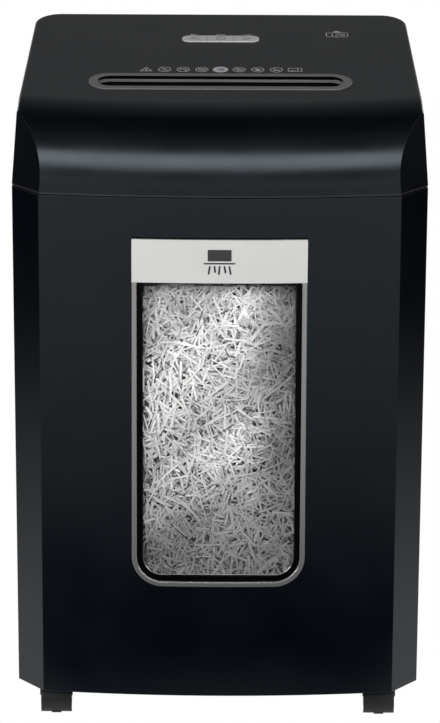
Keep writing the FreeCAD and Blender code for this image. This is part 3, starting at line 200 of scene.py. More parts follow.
CAMERA_SPOT = (0.0008, -3.699, 1.316)
CAMERA_PITCH = math.radians(15.0)
CAMERA_ROLL = math.radians(0.27)
camera_data = bpy.data.cameras.new("camera")
camera_data.sensor_fit = "VERTICAL"
camera_data.sensor_height = 24
camera_data.lens = 132.35
camera_data.clip_end = 60
camera = put("camera", camera_data)
camera.matrix_world = (Matrix.Translation(CAMERA_SPOT)
                       @ Matrix.Rotation(math.pi / 2 - CAMERA_PITCH, 4, "X")
                       @ Matrix.Rotation(CAMERA_ROLL, 4, "Z"))
bpy.context.scene.camera = camera


# ---- Cabinet shell --------------------------------------------------------------------------
# Injection-moulded black shell 385 mm wide and 482 mm high, open at the front, on a base plate
# with casters.  It has a fine etched grain and edges rubbed a little shinier than the faces.

def new_group(name, inputs, outputs):
    """Shader node group of plain numbers, with its entry and its exit node."""
    group = bpy.data.node_groups.new(name, "ShaderNodeTree")
    for label, value in inputs.items():
        socket = group.interface.new_socket(label, in_out="INPUT", socket_type="NodeSocketFloat")
        socket.default_value = value
    for label in outputs:
        group.interface.new_socket(label, in_out="OUTPUT", socket_type="NodeSocketFloat")
    return group, add_node(group, "NodeGroupInput"), add_node(group, "NodeGroupOutput")


def use_group(tree, group, **values):
    """A group in a tree, with some of its numbers changed."""
    return add_node(tree, "ShaderNodeGroup", values, node_tree=group)


wear_group, entry, leave = new_group(
    "edge_wear", {"Width": 0.0012, "Amount": 0.5, "Break Up": 60.0}, ["Mask"])
place = result(wear_group, "ShaderNodeTexCoord", "Object")
patchy = result(wear_group, "ShaderNodeTexNoise", "Fac",
                {"Vector": place, "Scale": entry.outputs["Break Up"]})
rounded = result(wear_group, "ShaderNodeBevel", "Normal", {"Radius": entry.outputs["Width"]}, samples=4)
flat = result(wear_group, "ShaderNodeNewGeometry", "Normal")
facing = vector_calc(wear_group, "DOT_PRODUCT", rounded, flat, output="Value")
edge = calc(wear_group, "MULTIPLY", calc(wear_group, "SUBTRACT", 1.0, facing), 9.0)
broken = calc(wear_group, "MULTIPLY", edge, calc(wear_group, "ADD", patchy, 0.15))
mask = calc(wear_group, "MULTIPLY", broken, entry.outputs["Amount"])
feed(wear_group, result(wear_group, "ShaderNodeClamp", "Result", {"Value": mask}), leave.inputs["Mask"])

grain_group, entry, leave = new_group(
    "moulded_grain", {"Pitch": 1400.0, "Relief": 1.0, "Mottle": 14.0}, ["Height", "Tone"])
place = result(grain_group, "ShaderNodeTexCoord", "Object")
pitch = entry.outputs["Pitch"]
fine = result(grain_group, "ShaderNodeTexNoise", "Fac", {"Vector": place, "Scale": pitch, "Detail": 3.0})
pits = result(grain_group, "ShaderNodeTexVoronoi", "Distance", {"Vector": place, "Scale": pitch},
              feature="SMOOTH_F1")
broad = result(grain_group, "ShaderNodeTexNoise", "Fac",
               {"Vector": place, "Scale": entry.outputs["Mottle"], "Detail": 4.0})
height = calc(grain_group, "MULTIPLY", calc(grain_group, "ADD", fine, pits), entry.outputs["Relief"])
feed(grain_group, height, leave.inputs["Height"])
feed(grain_group, broad, leave.inputs["Tone"])

dust_group, entry, leave = new_group("settled_dust", {"Amount": 0.1, "Speck": 260.0}, ["Mask"])
place = result(dust_group, "ShaderNodeTexCoord", "Object")
specks = result(dust_group, "ShaderNodeTexNoise", "Fac", {
    "Vector": place, "Scale": entry.outputs["Speck"], "Detail": 6.0, "Roughness": 0.7})
upward = axes(dust_group, result(dust_group, "ShaderNodeNewGeometry", "Normal"))["Z"]
lying = calc(dust_group, "MULTIPLY", map_range(dust_group, specks, 0.55, 0.75),
             calc(dust_group, "MAXIMUM", upward, 0.0))
feed(dust_group, calc(dust_group, "MULTIPLY", lying, entry.outputs["Amount"]), leave.inputs["Mask"])

DUST_TONE = (0.3, 0.29, 0.27)
SHEEN_SPREAD = 0.08     # how far the roughness of moulded plastic varies
MOULDED_EDGE = 0.0006   # radius that its edges are rounded to, in metres
RELIEF_DEPTH = 0.0002   # depth of its grain, and of a metal's brush marks, in metres


def softened(tree, height, strength, radius):
    """Surface direction with edges rounded to a radius and a relief pressed in."""
    soft = result(tree, "ShaderNodeBevel", "Normal", {"Radius": radius}, samples=4)
    return result(tree, "ShaderNodeBump", "Normal", {
        "Normal": soft, "Height": height, "Strength": strength, "Distance": RELIEF_DEPTH})


def principled(tree, inputs):
    """The tree's shader, wired to its output."""
    shader = result(tree, "ShaderNodeBsdfPrincipled", "BSDF", inputs)
    add_node(tree, "ShaderNodeOutputMaterial", {"Surface": shader})


def moulded(name, colour, rough, pitch=1400.0, bump=0.08, wear=0.35, worn=None, dust=0.05,
            specular=0.35, reflect=(1, 1, 1)):
    """Moulded plastic: etched grain, slightly uneven sheen, rubbed edges and a little dust."""
    material = bpy.data.materials.new(name)
    tree = node_tree(material)
    grain = use_group(tree, grain_group, Pitch=pitch).outputs
    rubbed = use_group(tree, wear_group, Amount=wear).outputs["Mask"]
    dusty = use_group(tree, dust_group, Amount=dust).outputs["Mask"]
    worn = worn or tuple(min(1.0, channel * 2.2 + 0.02) for channel in colour)
    darker = tuple(channel * 0.82 for channel in colour)
    base = blend(tree, rubbed, blend(tree, grain["Tone"], darker, colour), worn)
    uneven = map_range(tree, grain["Tone"], 0.3, 0.7, rough - SHEEN_SPREAD / 2, rough + SHEEN_SPREAD / 2)
    principled(tree, {
        "Base Color": blend(tree, dusty, base, DUST_TONE),
        "Roughness": calc(tree, "SUBTRACT", uneven, calc(tree, "MULTIPLY", rubbed, 0.15)),
        "Specular IOR Level": specular, "Specular Tint": reflect,
        "Normal": softened(tree, grain["Height"], bump, MOULDED_EDGE)})
    return material


def finish(material, *nodes):
    """Give carried-over nodes their finish."""
    for node in nodes:
        piece = NODES[node]
        if not piece.data.materials:
            piece.data.materials.append(material)
        for holder in piece.material_slots:
            holder.material = material


RUBBED_BLACK = (0.02, 0.02, 0.022)
housing_black = moulded("housing_black", (0.001, 0.0013, 0.0022), 0.26, dust=0.003, bump=0.12,
                        worn=RUBBED_BLACK, reflect=(0.78, 0.9, 1))
finish(housing_black, "cabinet_shell", "inlet_pocket")


# ---- Feed head ------------------------------------------------------------------------------
# Black cover 385 mm wide with a rolled front, a sloping top and slanted corners.  The chassis tub
# under it, the base plate, the bin's runners and the caster sockets are of a coarser black.

cover_black = moulded("cover_black", (0.0008, 0.0012, 0.0018), 0.24, dust=0.003, bump=0.12,
                      worn=RUBBED_BLACK, reflect=(0.74, 0.86, 0.95))
chassis_black = moulded("chassis_black", (0.004, 0.004, 0.0045), 0.5, pitch=900, bump=0.15)
finish(cover_black, "head_cover")
finish(chassis_black, "head_chassis", "base_plate", "drawer_rails", "caster_sockets", "gear_cover")


# ---- Pull-out front -------------------------------------------------------------------------
# Bowed front 385 mm wide and 481 mm high with slanted sides, of the same black plastic, polished
# a little more than the cabinet.  The window and the bin are fixed to it and slide out with it.

front_black = moulded("front_black", (0.0006, 0.001, 0.002), 0.2, dust=0.003, bump=0.09,
                      worn=RUBBED_BLACK, reflect=(0.8, 0.93, 1))
finish(front_black, "drawer_front")


# ---- Window trim and handle plate -----------------------------------------------------------
# A satin-chromed bar 4.8 mm wide runs round three sides of the window.  The handle plate that
# bridges the top is anodised aluminium, 41 mm high, brushed from side to side, with a dark
# printed sign of a sheet over five strips.

def metal(name, colour, rough, brushed=(1, 1, 1), brush=220.0, bump=0.05, wear=0.3, dull=0.12,
          bevel=0.0004, metallic=1.0):
    """Bare or plated metal: drawn-out brush marks, cloudy patches and brighter edges."""
    material = bpy.data.materials.new(name)
    tree = node_tree(material)
    place = result(tree, "ShaderNodeTexCoord", "Object")
    scratches = result(tree, "ShaderNodeTexNoise", "Fac", {
        "Vector": vector_calc(tree, "MULTIPLY", place, brushed), "Scale": brush, "Detail": 5.0})
    clouds = result(tree, "ShaderNodeTexNoise", "Fac", {"Vector": place, "Scale": 35.0})
    rubbed = use_group(tree, wear_group, Amount=wear, Width=bevel).outputs["Mask"]
    darker = tuple(channel * (1 - dull) for channel in colour)
    brighter = tuple(min(1, channel * 1.25 + 0.05) for channel in colour)
    principled(tree, {
        "Base Color": blend(tree, rubbed, blend(tree, clouds, darker, colour), brighter),
        "Metallic": metallic,
        "Roughness": map_range(tree, scratches, 0.0, 1.0, rough * 0.75, rough * 1.25),
        "Normal": softened(tree, scratches, bump, bevel)})
    return material


satin_chrome = metal("satin_chrome", (0.3, 0.295, 0.3), 0.2, bump=0.0, wear=0.0, metallic=0.85,
                     bevel=0.0018, dull=0.03, brush=3000)
brushed_plate = metal("brushed_plate", (0.4, 0.4, 0.392), 0.42, brushed=(0.03, 1, 1), brush=900,
                      bump=0.06, wear=0.8, metallic=0.35)
finish(satin_chrome, "window_trim")
finish(brushed_plate, "handle_plate")


def raised_marks(name, shapes, centre, across, along, thick, material, body):
    """Thin raised print: flat shapes given as point lists in mm on a plane through centre.

    The plane runs along the vectors across and along, and a shape of two lists is a ring.  How
    thick the print is comes in metres."""
    across, along = Vector(across).normalized(), Vector(along).normalized()
    out = across.cross(along)
    work = bmesh.new()

    def spot(point, height):
        return work.verts.new(Vector(centre) + across * (point[0] / 1000) + along * (point[1] / 1000)
                              + out * height)

    for shape in shapes:
        rings = shape if isinstance(shape[0][0], (tuple, list)) else [shape]
        loops = [[[spot(p, h) for p in ring] for h in (0.0, thick)] for ring in rings]
        count = len(rings[0])
        if len(rings) == 1:
            work.faces.new(loops[0][1])
            work.faces.new(loops[0][0][::-1])
        for index in range(count):
            following = (index + 1) % count
            low, high = loops[0]
            work.faces.new((low[index], low[following], high[following], high[index]))
            if len(rings) == 2:
                inner_low, inner_high = loops[1]
                work.faces.new((inner_low[following], inner_low[index], inner_high[index],
                                inner_high[following]))
                work.faces.new((high[index], high[following], inner_high[following], inner_high[index]))
                work.faces.new((low[following], low[index], inner_low[index], inner_low[following]))
    made = bpy.data.meshes.new(name)
    work.to_mesh(made)
    work.free()
    made.materials.append(material)
    item = put(name, made)
    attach(item, body)
    return item


def arc(radius, start=0.0, end=360.0, steps=40, centre=(0, 0)):
    """Points along an arc between two angles in degrees, or round a whole circle."""
    closed = abs(end - start) >= 360
    count = steps if closed else steps + 1
    return [(centre[0] + radius * math.cos(math.radians(start + (end - start) * i / steps)),
             centre[1] + radius * math.sin(math.radians(start + (end - start) * i / steps)))
            for i in range(count)]


def stroke(start, end, width):
    """Bar with round ends between two points."""
    (x0, y0), (x1, y1) = start, end
    heading = math.degrees(math.atan2(y1 - y0, x1 - x0))
    return (arc(width / 2, heading - 90, heading + 90, 8, end)
            + arc(width / 2, heading + 90, heading + 270, 8, start))


def round_box(half_x, half_y, corner, centre=(0, 0)):
    """Outline of a box with rounded corners."""
    points = []
    for turn, (sx, sy) in zip((0, 90, 180, 270), ((1, 1), (-1, 1), (-1, -1), (1, -1))):
        points += arc(corner, turn, turn + 90, 5,
                      (centre[0] + sx * (half_x - corner), centre[1] + sy * (half_y - corner)))
    return points


def hoop(radius, width, centre=(0, 0)):
    """Whole ring as an outer and an inner outline."""
    return [arc(radius, centre=centre), arc(radius - width, centre=centre)]


def band(radius, width, start, end, steps=20):
    """Part of a ring as one closed outline."""
    return arc(radius, start, end, steps) + arc(radius - width, end, start, steps)


print_dark = moulded("print_dark", (0.012, 0.012, 0.014), 0.5, bump=0.02, wear=0.0, dust=0.0)

low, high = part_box("handle_plate")
plate_front, plate_middle = low[1], (low[2] + high[2]) / 2
PRINT_SUNK = 0.00002    # how far the print is let into the plate, in metres
PLATE_PRINT = 0.00006   # how thick it is
sheet_marks = [round_box(11, 5.4, 1.0, (0, 6.0)), stroke((-14, -1.6), (14, -1.6), 1.4)]
sheet_marks += [stroke((x, -4.6), (x + lean, -10.5 - drop), 1.7)
                for x, lean, drop in ((-9, -1.0, 0.6), (-4.6, 0.5, -1.0), (0, -0.6, 1.0), (4.6, 0.8, -0.5),
                                      (9, 1.2, 0.8))]
raised_marks("handle_mark", sheet_marks, (0, plate_front + PRINT_SUNK, plate_middle), (1, 0, 0), (0, 0, 1),
             PLATE_PRINT, print_dark, "drawer")


# ---- Window ---------------------------------------------------------------------------------
# A gloss-black frame carries a clear 2 mm pane that is bent back behind the handle plate.  What
# shows through the pane is darker near its sides and foot, which is painted shade, and two soft
# bright bands run from upper right to lower left, which are painted reflections; over all lies a
# weak greasy film.

frame_gloss = moulded("frame_gloss", (0.0004, 0.0004, 0.0005), 0.3, bump=0.02, wear=0.0, dust=0.0,
                      specular=0.06)
finish(frame_gloss, "window_bezel")

clear_pane = bpy.data.materials.new("clear_pane")
tree = node_tree(clear_pane)
place = result(tree, "ShaderNodeTexCoord", "Object")
tilted = result(tree, "ShaderNodeMapping", "Vector", {
    "Vector": place, "Rotation": (0, math.radians(38), 0), "Scale": (1, 1, 0.12)})
streaks = result(tree, "ShaderNodeTexNoise", "Fac", {"Vector": tilted, "Scale": 16.0, "Detail": 2.5})
film = ramp(tree, streaks, [(0.0, 0.0), (0.5, 0.005), (0.62, 0.02), (0.8, 0.04)])
spot = axes(tree, place)
# Painted shade: what shows through is dimmed towards the sides and the foot, and so is the light that
# reaches the paper through the pane.
BRIGHT_MIDDLE = -0.018  # X of the brightest part of the pane, in metres
from_middle = calc(tree, "ABSOLUTE", calc(tree, "ADD", spot["X"], -BRIGHT_MIDDLE))
side_shade = map_range(tree, from_middle, 0.086, 0.036, interpolation_type="SMOOTHSTEP")
foot_shade = map_range(tree, spot["Z"], 0.15, 0.29, interpolation_type="SMOOTHSTEP")
tint_and_painted_shade = ramp(tree, calc(tree, "MULTIPLY", side_shade, foot_shade), [(0.0, 0.6), (1.0, 0.868)])
# Painted reflections: soft bright bands slanting from upper right to lower left across the pane.
BAND_SLANT, BAND_START, BAND_SPAN = 0.8, 0.15, 0.3
slanted = calc(tree, "SUBTRACT", spot["Z"], calc(tree, "MULTIPLY", spot["X"], BAND_SLANT))
across_bands = calc(tree, "DIVIDE", calc(tree, "SUBTRACT", slanted, BAND_START), BAND_SPAN)
bands = ramp(tree, across_bands, [(0.1, 1.0), (0.27, 0.92), (0.37, 1.0), (0.44, 1.0), (0.52, 0.92),
                                  (0.6, 0.91), (0.69, 1.0), (0.83, 1.0), (0.95, 0.88)])
through = result(tree, "ShaderNodeBsdfTransparent", "BSDF",
                 {"Color": vector_calc(tree, "MULTIPLY", tint_and_painted_shade, bands)})
mirror = result(tree, "ShaderNodeBsdfGlossy", "BSDF", {"Roughness": 0.03, "Color": (0.16, 0.16, 0.16)})
haze = result(tree, "ShaderNodeBsdfDiffuse", "BSDF", {"Color": (0.8, 0.82, 0.84)})
outer_face = calc(tree, "SUBTRACT", 1.0, result(tree, "ShaderNodeNewGeometry", "Backfacing"))
glancing = calc(tree, "MULTIPLY", result(tree, "ShaderNodeFresnel", "Fac", {"IOR": 1.45}), outer_face)
clear = mix_shaders(tree, glancing, through, mirror)
add_node(tree, "ShaderNodeOutputMaterial", {"Surface": mix_shaders(tree, film, clear, haze)})
finish(clear_pane, "window_pane")

# A bright metal bead 1.2 mm thick along the pane's lower edge, following the rounded corners: a
# painted highlight where the clear edge catches the light.
pane_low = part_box("window_pane")[0]
HALF, SWEEP, UPRIGHT, BEAD_RADIUS = 0.0700, 0.0166, 0.012, 0.0006
foot = pane_low[2] + 0.0007
path = [(-HALF, foot + SWEEP + UPRIGHT)]
path += [(-HALF + SWEEP - SWEEP * math.cos(t), foot + SWEEP - SWEEP * math.sin(t))
         for t in [math.pi / 2 * k / 10 for k in range(11)]]
path += [(-x, z) for x, z in path[::-1]]
curve = bpy.data.curves.new("pane_edge", "CURVE")
curve.dimensions = "3D"
curve.bevel_depth = BEAD_RADIUS
curve.bevel_resolution = 3
spline = curve.splines.new("POLY")
spline.points.add(len(path) - 1)
for point, (x, z) in zip(spline.points, path):
    point.co = (x, pane_low[1] + BEAD_RADIUS, z, 1)
pane_edge = put("pane_edge", curve)
curve.materials.append(metal("pane_edge_highlight", (0.75, 0.76, 0.78), 0.18, bump=0.01, wear=0.1))
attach(pane_edge, "drawer")


# ---- Bin and shredded paper -----------------------------------------------------------------
# Grey-black bin, 340 x 242 x 388 mm, and a heap of white, grey and a few tinted paper strips.
# Those against the pane are 1.2 to 2.1 mm wide and 10 to 27 mm long and lie flat in every
# direction, painted lighter just behind the pane and darker the deeper they lie, as painted light
# and shade.  Strips of 2.2 to 3.8 by 14 to 42 mm lie loosely over the heap's back and the floor.

bin_black = moulded("bin_black", (0.02, 0.02, 0.022), 0.5, pitch=700, bump=0.15)
finish(bin_black, "bin_tub")

paper = bpy.data.materials.new("shred_paper")
tree = node_tree(paper)
# Each strip's colour attribute holds its paper tone, times the painted light and shade of the strips in the
# window.
tint_and_painted_shade = add_node(tree, "ShaderNodeAttribute", attribute_name="tint_and_painted_shade").outputs
place = result(tree, "ShaderNodeTexCoord", "Object")
fibres = result(tree, "ShaderNodeTexNoise", "Fac", {"Vector": place, "Scale": 420.0, "Detail": 3.0})
ink = ramp(tree, fibres, [(0.0, 1.0), (0.6, 1.0), (0.67, 0.35), (1.0, 0.2)])
printed = blend(tree, calc(tree, "MULTIPLY", tint_and_painted_shade["Alpha"], 0.6), (1, 1, 1), ink)
relief = result(tree, "ShaderNodeBump", "Normal", {"Height": fibres, "Strength": 0.15, "Distance": 0.0001})
principled(tree, {
    "Base Color": blend(tree, 1.0, tint_and_painted_shade["Color"], printed, "MULTIPLY"), "Roughness": 0.78,
    "Specular IOR Level": 0.25, "Normal": relief})

# All of the paper's sizes from here on are in mm.
shred_low, shred_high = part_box("paper_shreds")
PANE_BACK = shred_low[1] * 1000 + 0.2
SHRED_TOP = shred_high[2] * 1000
SHRED_BOTTOM = shred_low[2] * 1000
BIN_FRONT_IN = -121.2
WINDOW_HALF = 70.0
WINDOW_LOW = 150.5
CORNER = 18.0
BEND_LOW, BEND_HIGH, BEND_DEPTH = 394, 424, 13      # where the pane bends back, and how far
STRIP_THICK = 0.12
HEAP_HALF = 158
HEAP_REAR = 112


def pane_limit(z):
    """How far forward a strip may reach in the window at a height."""
    if z < BEND_LOW:
        return PANE_BACK
    if z < BEND_HIGH:
        return PANE_BACK + (z - BEND_LOW) / (BEND_HIGH - BEND_LOW) * BEND_DEPTH
    return PANE_BACK + BEND_DEPTH


def press_in(point):
    """Keep a point of a strip in the window recess inside the frame and behind the pane."""
    x = max(-WINDOW_HALF, min(WINDOW_HALF, point[0]))
    z = max(WINDOW_LOW, min(SHRED_TOP - 0.5, point[2]))
    cx, cz = WINDOW_HALF - CORNER, WINDOW_LOW + CORNER
    if abs(x) > cx and z < cz:
        dx, dz = abs(x) - cx, z - cz
        far = math.hypot(dx, dz)
        if far > CORNER:
            x = math.copysign(cx + dx * CORNER / far, x)
            z = cz + dz * CORNER / far
    return (x, max(pane_limit(z), min(BIN_FRONT_IN + 3.0, point[1])), z)


def strip_faces(points, sides, thick, verts, faces, tones, tone):
    """Closed thin ribbon along points, with the half-width vector at each of them."""
    start = len(verts)
    for index, (point, side) in enumerate(zip(points, sides)):
        ahead = points[min(index + 1, len(points) - 1)]
        behind = points[max(index - 1, 0)]
        up = side.cross(ahead - behind).normalized() * thick / 2
        for across, over in ((-1, -1), (1, -1), (1, 1), (-1, 1)):
            verts.append(point + side * across + up * over)
            tones.append(tone)
    last = len(points) - 1
    for index in range(last):
        base = start + index * 4
        for k in range(4):
            faces.append((base + k, base + (k + 1) % 4, base + 4 + (k + 1) % 4, base + 4 + k))
    faces.append((start + 3, start + 2, start + 1, start))
    end = start + last * 4
    faces.append((end, end + 1, end + 2, end + 3))


STEPS = 5               # points along each strip
draw = random.Random(4107)
verts, faces, tones = [], [], []


def paper_tone():
    """Mostly white sheets, some grey recycled ones and a few printed in soft tints."""
    kind = draw.random()
    if kind < 0.87:
        grey = draw.uniform(0.68, 0.9)
        return (grey, grey, grey * draw.uniform(0.97, 1.02), draw.choice((0, 0, 0.4, 1)))
    if kind < 0.98:
        grey = draw.uniform(0.38, 0.6)
        return (grey, grey, grey * 1.02, draw.uniform(0.2, 1))
    grey = draw.uniform(0.1, 0.22)
    return (grey, grey * draw.uniform(0.95, 1.05), grey * draw.uniform(0.95, 1.15), 0.3)


def lay_strip(centre, heading, lean, length, width, curl, keep, shade=1.0):
    """One strip; heading in the plane of the pane, lean out of it, both in radians; shade scales its colour
    as painted light and shade.
    """
    along = Vector((math.cos(heading) * math.cos(lean), math.sin(lean),
                    math.sin(heading) * math.cos(lean)))
    out = Vector((0, -1, 0))
    side = along.cross(out).normalized()
    roll = draw.gauss(0, 0.28)
    side = (Matrix.Rotation(roll, 3, along) @ side) * width / 2
    points, sides = [], []
    sway = draw.uniform(-0.12, 0.12) * length
    for i in range(STEPS):
        t = i / (STEPS - 1) - 0.5
        point = Vector(centre) + along * (t * length) + out * (curl * (0.25 - t * t) * 4)
        point += side.normalized() * (sway * (0.25 - t * t))
        points.append(Vector(keep(point)))
        sides.append(side)
    tone = paper_tone()
    strip_faces(points, sides, STRIP_THICK, verts, faces, tones,
                (*[channel * shade for channel in tone[:3]], tone[3]))


FRONT_STRIPS, BACK_STRIPS, FLOOR_STRIPS = 4600, 1500, 1100
# The window strips are painted a little lighter just behind the pane and darker the deeper they lie:
# painted light and shade.
for _ in range(FRONT_STRIPS):
    z = draw.uniform(WINDOW_LOW, SHRED_TOP)
    depth = abs(draw.gauss(0, 4.2))
    place = (draw.uniform(-WINDOW_HALF, WINDOW_HALF), pane_limit(z) + depth, z)
    lay_strip(place, draw.uniform(0, math.pi), draw.gauss(0, 0.10), draw.uniform(10, 27),
              draw.choice((1.2, 1.4, 1.7, 2.1)), draw.uniform(-1.2, 1.6), press_in,
              max(0.3, 1.12 - 0.085 * depth))


HEAP_CREST, HEAP_LEAN, HEAP_FOOT = 12, 18, 92       # depth at the top, how far it leans, and from where
LAYER = 14              # height of the loose paper on the bin's floor


def heap_back(z):
    """Where the leaning back of the tall heap stands at a height."""
    lean = max(0.0, (SHRED_TOP - z) / (SHRED_TOP - HEAP_FOOT))
    return BIN_FRONT_IN + HEAP_CREST + HEAP_LEAN * lean


def press_heap(point):
    """Keep a point of a strip inside the bin."""
    x = max(-HEAP_HALF - 1, min(HEAP_HALF + 1, point[0]))
    z = max(SHRED_BOTTOM + 1, min(SHRED_TOP - 0.3, point[2]))
    return (x, max(BIN_FRONT_IN + 0.3, min(HEAP_REAR + 0.5, point[1])), z)


for _ in range(BACK_STRIPS):
    z = draw.uniform(SHRED_BOTTOM + LAYER, SHRED_TOP)
    place = (draw.uniform(-HEAP_HALF, HEAP_HALF), heap_back(z) + draw.uniform(-3, 1.5), z)
    lay_strip(place, draw.uniform(0, math.pi), draw.gauss(0, 0.25), draw.uniform(14, 42),
              draw.choice((2.2, 2.8, 3.2, 3.8)), draw.uniform(-3, 3), press_heap)
for _ in range(FLOOR_STRIPS):
    place = Vector((draw.uniform(-HEAP_HALF, HEAP_HALF), draw.uniform(-80, HEAP_REAR),
                    SHRED_BOTTOM + LAYER + draw.gauss(0, 2.0)))
    heading = draw.uniform(0, math.pi)
    length = draw.uniform(14, 42)
    along = Vector((math.cos(heading), math.sin(heading), draw.gauss(0, 0.12))).normalized()
    side = along.cross(Vector((0, 0, 1))).normalized()
    side = (Matrix.Rotation(draw.gauss(0, 0.35), 3, along) @ side) * draw.choice((1.1, 1.4, 1.6, 1.9))
    bow = draw.uniform(-1, 5)
    points = []
    for i in range(STEPS):
        t = i / (STEPS - 1) - 0.5
        lift = Vector((0, 0, bow * (0.25 - t * t) * 4))
        points.append(Vector(press_heap(place + along * (t * length) + lift)))
    strip_faces(points, [side] * STEPS, STRIP_THICK, verts, faces, tones, paper_tone())

# The imported paper under the loose strips: a lumpy block with the same outline, near-black as
# painted shade in the gaps between the strips.
HEAP_BACK = shred_high[1] * 1000 - 3
profile = [(BIN_FRONT_IN + 1.2, SHRED_BOTTOM), (BIN_FRONT_IN + 1.2, SHRED_TOP - 3),
           (BIN_FRONT_IN + 9, SHRED_TOP - 4), (BIN_FRONT_IN + 27, 95), (HEAP_BACK, SHRED_BOTTOM + 12),
           (HEAP_BACK, SHRED_BOTTOM)]
core_start = len(verts)
COLUMNS = 40
CORE_HALF = 157
CORE_PAINTED_SHADE = (0.06, 0.06, 0.065, 0)
for column in range(COLUMNS + 1):
    x = -CORE_HALF + 2 * CORE_HALF * column / COLUMNS
    for y, z in profile:
        lump = noise.noise(Vector((x, y, z)) * 0.05)
        verts.append(Vector((x, y, z + (2.0 * lump if z > 60 else 0))))
        tones.append(CORE_PAINTED_SHADE)
size = len(profile)
for column in range(COLUMNS):
    for k in range(size):
        a, b = core_start + column * size + k, core_start + column * size + (k + 1) % size
        faces.append((a, a + size, b + size, b))
faces.append(tuple(core_start + k for k in range(size)))
faces.append(tuple(core_start + COLUMNS * size + k for k in range(size))[::-1])

made = bpy.data.meshes.new("paper_heap")
made.from_pydata([v / 1000 for v in verts], [], faces)
store = made.color_attributes.new("tint_and_painted_shade", "FLOAT_COLOR", "POINT")
store.data.foreach_set("color", [channel for tone in tones for channel in tone])
made.materials.append(paper)
heap = put("paper_heap", made)
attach(heap, "drawer")
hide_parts("paper_shreds")


# ---- Slot and top marks ---------------------------------------------------------------------
# Mid-grey ring 246 x 39 mm round the feed slot, its inner lips painted black as the shade down
# the slot.  Nine small pale grey signs stand
# behind it at 17.5 mm pitch, and an arrow over a framed sign at the right.  All are plain shapes
# of no particular maker: a triangle, barred rings round simple signs, a disc and a tray.

ring_grey = moulded("ring_grey", (0.067, 0.067, 0.069), 0.45, bump=0.05, wear=0.3)
tree = ring_grey.node_tree
shader = [n for n in tree.nodes if n.type == "BSDF_PRINCIPLED"][0]
plain = shader.inputs["Base Color"].links[0].from_socket
# Painted shade: the ring's inner lips, all that lies near the slot's middle line, are given the
# throat's black and no sheen, as the shade down the slot.  The sizes are in metres.
SLOT_REACH, SLOT_MIDDLE, SLOT_ROUND = 0.1025, -0.0377, 0.0122
THROAT_BLACK_AND_SHADE = (0.0006, 0.0006, 0.0007)
spot = axes(tree, result(tree, "ShaderNodeTexCoord", "Object"))
past_end = calc(tree, "SUBTRACT", calc(tree, "ABSOLUTE", spot["X"]), SLOT_REACH)
past_end = calc(tree, "MAXIMUM", past_end, 0.0)
off_line = calc(tree, "SUBTRACT", spot["Y"], SLOT_MIDDLE)
reach = calc(tree, "SQRT", calc(tree, "ADD", calc(tree, "MULTIPLY", past_end, past_end),
                                calc(tree, "MULTIPLY", off_line, off_line)))
inside = calc(tree, "LESS_THAN", reach, SLOT_ROUND)
feed(tree, blend(tree, inside, plain, THROAT_BLACK_AND_SHADE), shader.inputs["Base Color"])
feed(tree, calc(tree, "MULTIPLY", calc(tree, "SUBTRACT", 1.0, inside), 0.5),
     shader.inputs["Specular IOR Level"])
throat_black = moulded("throat_black", THROAT_BLACK_AND_SHADE, 0.9, bump=0.1, specular=0.05, wear=0.0, dust=0.0)
finish(ring_grey, "throat_bezel")
finish(throat_black, "throat_guide")

press = [joint for joint in frame["joints"] if joint["name"] == "auto_press"][0]
TOP_OUT = -Vector(press["axis"]).normalized()
TOP_UP = Vector((0, -TOP_OUT.z, TOP_OUT.y)) * -1
TOP_START = Vector((0, -0.08824, 0.59524))      # where the sloping top begins, behind the roll
PRINT_THICK, DARK_PRINT = 0.00005, 0.00004      # the pale signs, and the dark ones on keys and disc
PRINT_GAP = 0.00001     # clearance under the print
SIGN_PITCH, KEY_PITCH = 17.5, 24.6
SIGN_ROW, KEY_ROW, LABEL_ROW, ARROW_SPOT = -7.0, 70.1, 81.5, (111.7, 82.7)


def on_slope(x, y):
    """Point just over the sloping top at a place in plan, in mm."""
    run = (y / 1000 - TOP_START.y) / TOP_UP.y
    return Vector((x / 1000, 0, 0)) + TOP_START + TOP_UP * run + TOP_OUT * PRINT_GAP


def barred(shapes):
    """A ring with a bar across it from upper left to lower right, round a small sign."""
    return [hoop(6.1, 0.75), stroke((-4.2, 4.2), (4.2, -4.2), 0.75)] + shapes


clip = [band(2.4, 0.6, -90, 90), stroke((-2.6, 2.1), (0, 2.1), 0.6), stroke((-3, -2.1), (0, -2.1), 0.6)]
staple = [stroke((-2.8, 1.6), (2.8, 1.6), 0.7), stroke((-2.8, 1.6), (-2.8, -1.8), 0.7),
          stroke((2.8, 1.6), (2.8, -1.8), 0.7)]
card = [[round_box(3.4, 2.2, 0.5), round_box(2.8, 1.6, 0.3)], stroke((-2.6, 0.5), (2.6, 0.5), 0.6)]
disc = [hoop(3.2, 0.6), hoop(1.0, 0.5)]
flame = [[(-2.0, -2.6), (2.0, -2.6), (2.6, -0.6), (1.2, 1.0), (0.6, 3.2), (-0.8, 1.2), (-2.4, -0.2)]]
sign_rows = [
    [[[(-6.2, -4.6), (6.2, -4.6), (0, 5.6)], [(-4.6, -3.7), (4.6, -3.7), (0, 4.0)]],
     arc(0.9, centre=(0, -2.0), steps=12), stroke((0, -0.6), (0, 1.6), 0.9)],
    barred(clip), barred(staple), barred(card),
    [arc(7.2, steps=48)],
    barred(disc), barred(flame),
    barred([stroke((-3, -1.5), (3, -1.5), 0.7), stroke((-2, 0), (2, 0), 0.7)]),
    [[round_box(6.6, 4.4, 0.8), round_box(5.9, 3.7, 0.5)], stroke((2.6, -2.4), (2.6, 2.2), 0.8),
     stroke((-4.0, -2.0), (0.4, -2.0), 0.8)],
]
faint_print = moulded("faint_print", (0.25, 0.25, 0.26), 0.55, bump=0.02, wear=0.1, dust=0.0)
